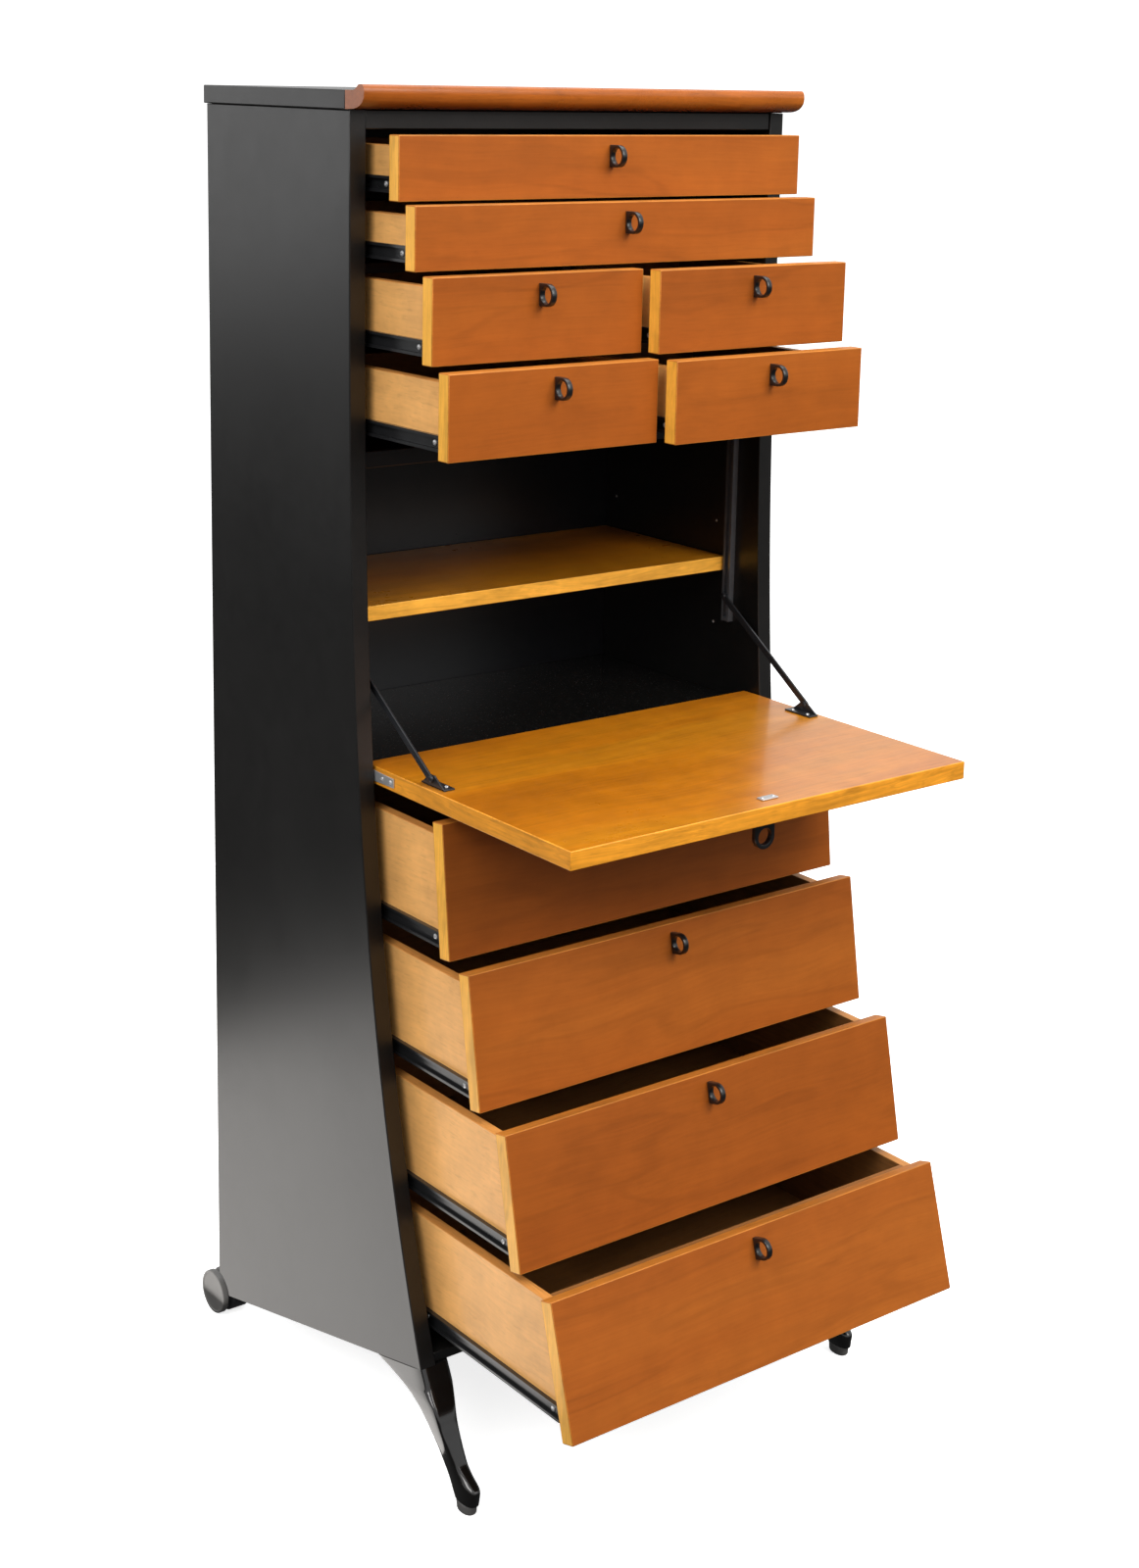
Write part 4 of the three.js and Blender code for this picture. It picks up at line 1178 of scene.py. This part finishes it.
class CHEST_OT_stays(bpy.types.Operator):
    """Folding stays of the flap: bracket, arm with its pins, and the slotted track on the side panel"""

    bl_idname = "chest.stays"
    bl_label = "Flap Stays"

    def execute(self, context):
        pivot_y, pivot_z, slide_y, slide_z = -112, 801.3, 41, 904.6
        bracket_screws, track_screws = [], []
        for side, sign in SIDES:
            low, high = limits(f"stay_bracket_{side}")
            shape = bmesh.new()
            web = [(-92, low.z), (-94, low.z + 2), (pivot_y + 6, pivot_z + 2.8), (pivot_y + 4.6, pivot_z + 4),
                   (pivot_y - 4.6, pivot_z + 4), (pivot_y - 6, pivot_z + 2.8), (-133, low.z + 2), (-135, low.z)]
            prism(shape, web, *sorted((sign * 266, sign * 267.8)), 0.35)
            x0, x1 = sorted((sign * 254, sign * 267.8))
            slab(shape, (x0, -135, low.z), (x1, -92, low.z + 1.8), 0.5)
            inward, outward = (-sign, 0, 0), (sign, 0, 0)
            rivet = [(0, -0.1), (3.6, -0.1), (3.4, 0.6), (2.4, 1.2), (0, 1.5)]
            turned(shape, rivet, (sign * 266, pivot_y, pivot_z), inward, 24)
            finish_piece(f"{side}_stay_bracket", shape, ["black_iron"], "flap", [f"stay_bracket_{side}"])
            bracket_screws += [((sign * 259, y, low.z + 1.8), (0, 0, 1)) for y in (-126, -101)]

            run, rise = slide_y - pivot_y, slide_z - pivot_z
            length = math.hypot(run, rise)
            place = Matrix.Translation((0, pivot_y, pivot_z)) @ Matrix.Rotation(math.atan2(rise, run), 4, "X")
            shape = bmesh.new()
            x0, x1 = sorted((sign * 268.3, sign * 270.8))
            prism(shape, bar_outline(length, 4), x0, x1, 0.5, place=place)
            pin = [(0, 0), (3, 0), (3, 4.4), (2.6, 4.9), (0, 4.9)]
            pin_head = [(0, 0), (3.4, 0), (3.2, 0.6), (2.2, 1.0), (0, 1.2)]
            rivet_back = [(0, 0), (3.2, 0), (3.0, 0.4), (2.0, 0.7), (0, 0.8)]
            turned(shape, pin, (sign * 270.7, slide_y, slide_z), outward, 24)
            turned(shape, pin_head, (sign * 268.4, slide_y, slide_z), inward, 24)
            turned(shape, rivet_back, (sign * 270.7, pivot_y, pivot_z), outward, 24)
            finish_piece(
                f"{side}_stay_arm", shape, ["black_iron"], f"stay_arm_{side}", [f"stay_arm_{side}"]
            )

            low, high = limits(f"stay_track_{side}")
            channel = [(-6.5, 0), (6.5, 0), (6.5, 7.7), (3.5, 7.7), (3.5, 6.4), (5.2, 6.4), (5.2, 1.6), (-5.2, 1.6),
                       (-5.2, 6.4), (-3.5, 6.4), (-3.5, 7.7), (-6.5, 7.7)]
            # local X runs up the track, local Y along the depth, local Z away from the panel
            place = Matrix(((0, 0, -sign, sign * WALL), (0, 1, 0, slide_y), (1, 0, 0, 0), (0, 0, 0, 1)))
            shape = bmesh.new()
            prism(shape, channel, low.z, high.z, place=place)
            for z0, z1 in ((low.z + 0.2, low.z + 5), (high.z - 5, high.z - 0.2)):
                x0, x1 = sorted((sign * (WALL - 1), sign * (WALL - 7.2)))
                slab(shape, (x0, slide_y - 5.1, z0), (x1, slide_y + 5.1, z1), 0.4)
            # the track takes the lighter iron, a painted highlight for its glints
            finish_piece(
                f"{side}_stay_track", shape, ["painted_glint_iron"], "carcass", [f"stay_track_{side}"]
            )
            track_screws += [((sign * (WALL - 1.6), slide_y, z), (-sign, 0, 0)) for z in (low.z + 40, high.z - 40)]
        fasteners("stay_bracket_screws", bracket_screws, 2.3, "zinc_steel", "flap")
        fasteners("stay_track_screws", track_screws, 2.2, "zinc_steel", "carcass")
        return {"FINISHED"}


# ---- Stage ------------------------------------------------------------------------------------------


CAMERA_PLACE = (-1.62216, -2.05949, 1.53172)
CAMERA_TURN_RISE_ROLL = (-37.903, 11.874, 1.214)  # degrees
CAMERA_LENS, CAMERA_SHIFT = 54.25, -0.1376


def area_light(name, place, aim, width, height, power, colour=(1, 1, 1), shows_in_gloss=True):
    light = bpy.data.lights.new(name, "AREA")
    light.shape, light.size, light.size_y = "RECTANGLE", width, height
    light.energy, light.color = power, colour
    made = bpy.data.objects.new(name, light)
    made.location = place
    made.rotation_euler = (Vector(aim) - Vector(place)).to_track_quat("-Z", "Y").to_euler()
    made.visible_camera = False
    made.visible_glossy = shows_in_gloss
    bpy.context.scene.collection.objects.link(made)
    return made


class CHEST_OT_stage(bpy.types.Operator):
    """A pale floor, soft studio lights and the camera"""

    bl_idname = "chest.stage"
    bl_label = "Stage, Lights and Camera"

    def execute(self, context):
        scene = context.scene
        scene.view_settings.view_transform = "Standard"
        scene.view_settings.look = "None"

        shape = bmesh.new()
        bmesh.ops.create_circle(shape, cap_ends=True, segments=96, radius=14)
        floor = loose_object("pale_floor", shape)
        finish, tree, shader, place = start_material("pale_floor")
        tone = spread(tree, noise(tree, place, 3.0, 3.0), 0.3, 0.7, 0.9, 0.94)
        tree.links.new(blend_colours(tree, 1.0, opaque((1, 1, 1)), tone, "MULTIPLY"), shader.inputs["Base Color"])
        shader.inputs["Roughness"].default_value = 0.8
        shader.inputs["Specular IOR Level"].default_value = 0.1
        shader.inputs["Emission Color"].default_value = (1, 1, 1, 1)
        shader.inputs["Emission Strength"].default_value = 0.75
        floor.data.materials.append(finish)
        # the chest stands over a dark studio: the floor neither shows in its gloss nor lights it from below
        floor.visible_glossy = floor.visible_diffuse = False

        world = bpy.data.worlds.new("studio")
        scene.world = world
        world.use_nodes = True
        tree = world.node_tree
        tree.nodes.clear()
        seen = node(tree, "ShaderNodeLightPath").outputs["Is Camera Ray"]
        direction = node(tree, "ShaderNodeTexCoord").outputs["Generated"]
        height = node(tree, "ShaderNodeSeparateXYZ", {0: direction}).outputs[2]
        lit = spread(tree, height, -0.02, 0.10, 0.06, 0.85)
        strength = math_node(tree, "ADD", lit, math_node(tree, "MULTIPLY", seen, 1.2))
        light = node(tree, "ShaderNodeBackground", {"Color": (1, 1, 1, 1), "Strength": strength})
        node(tree, "ShaderNodeOutputWorld", {"Surface": light.outputs[0]})

        area_light("key_left", (-3.0, -1.3, 3.3), (0, 0, 0.9), 2.2, 2.2, 90, (1, 0.985, 0.96))
        area_light("fill_front", (0.9, -3.4, 3.4), (0, 0, 1.0), 2.6, 2.2, 78, (1, 0.985, 0.95))
        area_light("upper_front", (0.5, -2.1, 2.5), (0, -0.2, 1.55), 1.2, 0.9, 33, (1, 0.985, 0.95), False)
        area_light("top_soft", (0.2, 0.2, 3.6), (0, 0, 0.8), 2.8, 2.8, 45)
        area_light("rear_left_card", (-3.6, 5.6, 1.35), (-0.3, 0.1, 1.2), 2.6, 1.2, 16)
        patch = area_light("floor_patch", (-0.72, 0.46, 0.02), (-0.72, 0.46, 1), 0.84, 1.16, 6.6)
        patch.data.color = (1, 0.965, 0.93)
        patch.rotation_euler = (math.pi, 0, 0)

        camera_data = bpy.data.cameras.new("camera")
        camera_data.lens, camera_data.sensor_width, camera_data.sensor_fit = CAMERA_LENS, 36, "AUTO"
        camera_data.shift_y = CAMERA_SHIFT
        camera_data.clip_start, camera_data.clip_end = 0.05, 60
        camera = bpy.data.objects.new("camera", camera_data)
        turn, rise, roll = (math.radians(angle) for angle in CAMERA_TURN_RISE_ROLL)
        back = Vector((math.sin(turn) * math.cos(rise), -math.cos(turn) * math.cos(rise), math.sin(rise)))
        right = Vector((math.cos(turn), math.sin(turn), 0))
        up = back.cross(right)
        rolled_right = right * math.cos(roll) + up * math.sin(roll)
        rolled_up = up * math.cos(roll) - right * math.sin(roll)
        camera.matrix_world = Matrix.Translation(CAMERA_PLACE) @ Matrix(
            (rolled_right, rolled_up, back)
        ).transposed().to_4x4()
        scene.collection.objects.link(camera)
        scene.camera = camera
        return {"FINISHED"}


# ---- Panel and run ----------------------------------------------------------------------------------

STEPS = (
    CHEST_OT_side_panels, CHEST_OT_cabinet_boards, CHEST_OT_crown, CHEST_OT_shelf, CHEST_OT_legs, CHEST_OT_rollers,
    CHEST_OT_drawer_fronts, CHEST_OT_drawer_boxes, CHEST_OT_runners, CHEST_OT_handles, CHEST_OT_flap, CHEST_OT_stays,
    CHEST_OT_stage,
)


class CHEST_PT_build(bpy.types.Panel):
    """Lists the steps that build the chest and its settings"""

    bl_label = "Flared Chest"
    bl_idname = "CHEST_PT_build"
    bl_space_type = "VIEW_3D"
    bl_region_type = "UI"
    bl_category = "Chest"

    def draw(self, context):
        for settings in (context.scene.chest_sizes, context.scene.chest_colours):
            column = self.layout.column()
            for name in settings.bl_rna.properties.keys():
                if name not in ("rna_type", "name"):
                    column.prop(settings, name)
        for step in STEPS:
            self.layout.operator(step.bl_idname)


def register():
    for item in (ChestSizes, ChestColours, *STEPS, CHEST_PT_build):
        bpy.utils.register_class(item)
    bpy.types.Scene.chest_sizes = bpy.props.PointerProperty(type=ChestSizes)
    bpy.types.Scene.chest_colours = bpy.props.PointerProperty(type=ChestColours)


def unregister():
    del bpy.types.Scene.chest_colours
    del bpy.types.Scene.chest_sizes
    for item in reversed((ChestSizes, ChestColours, *STEPS, CHEST_PT_build)):
        bpy.utils.unregister_class(item)


def main():
    register()
    for step in STEPS:
        getattr(bpy.ops.chest, step.bl_idname.split(".")[1])()


if __name__ == "__main__":
    main()
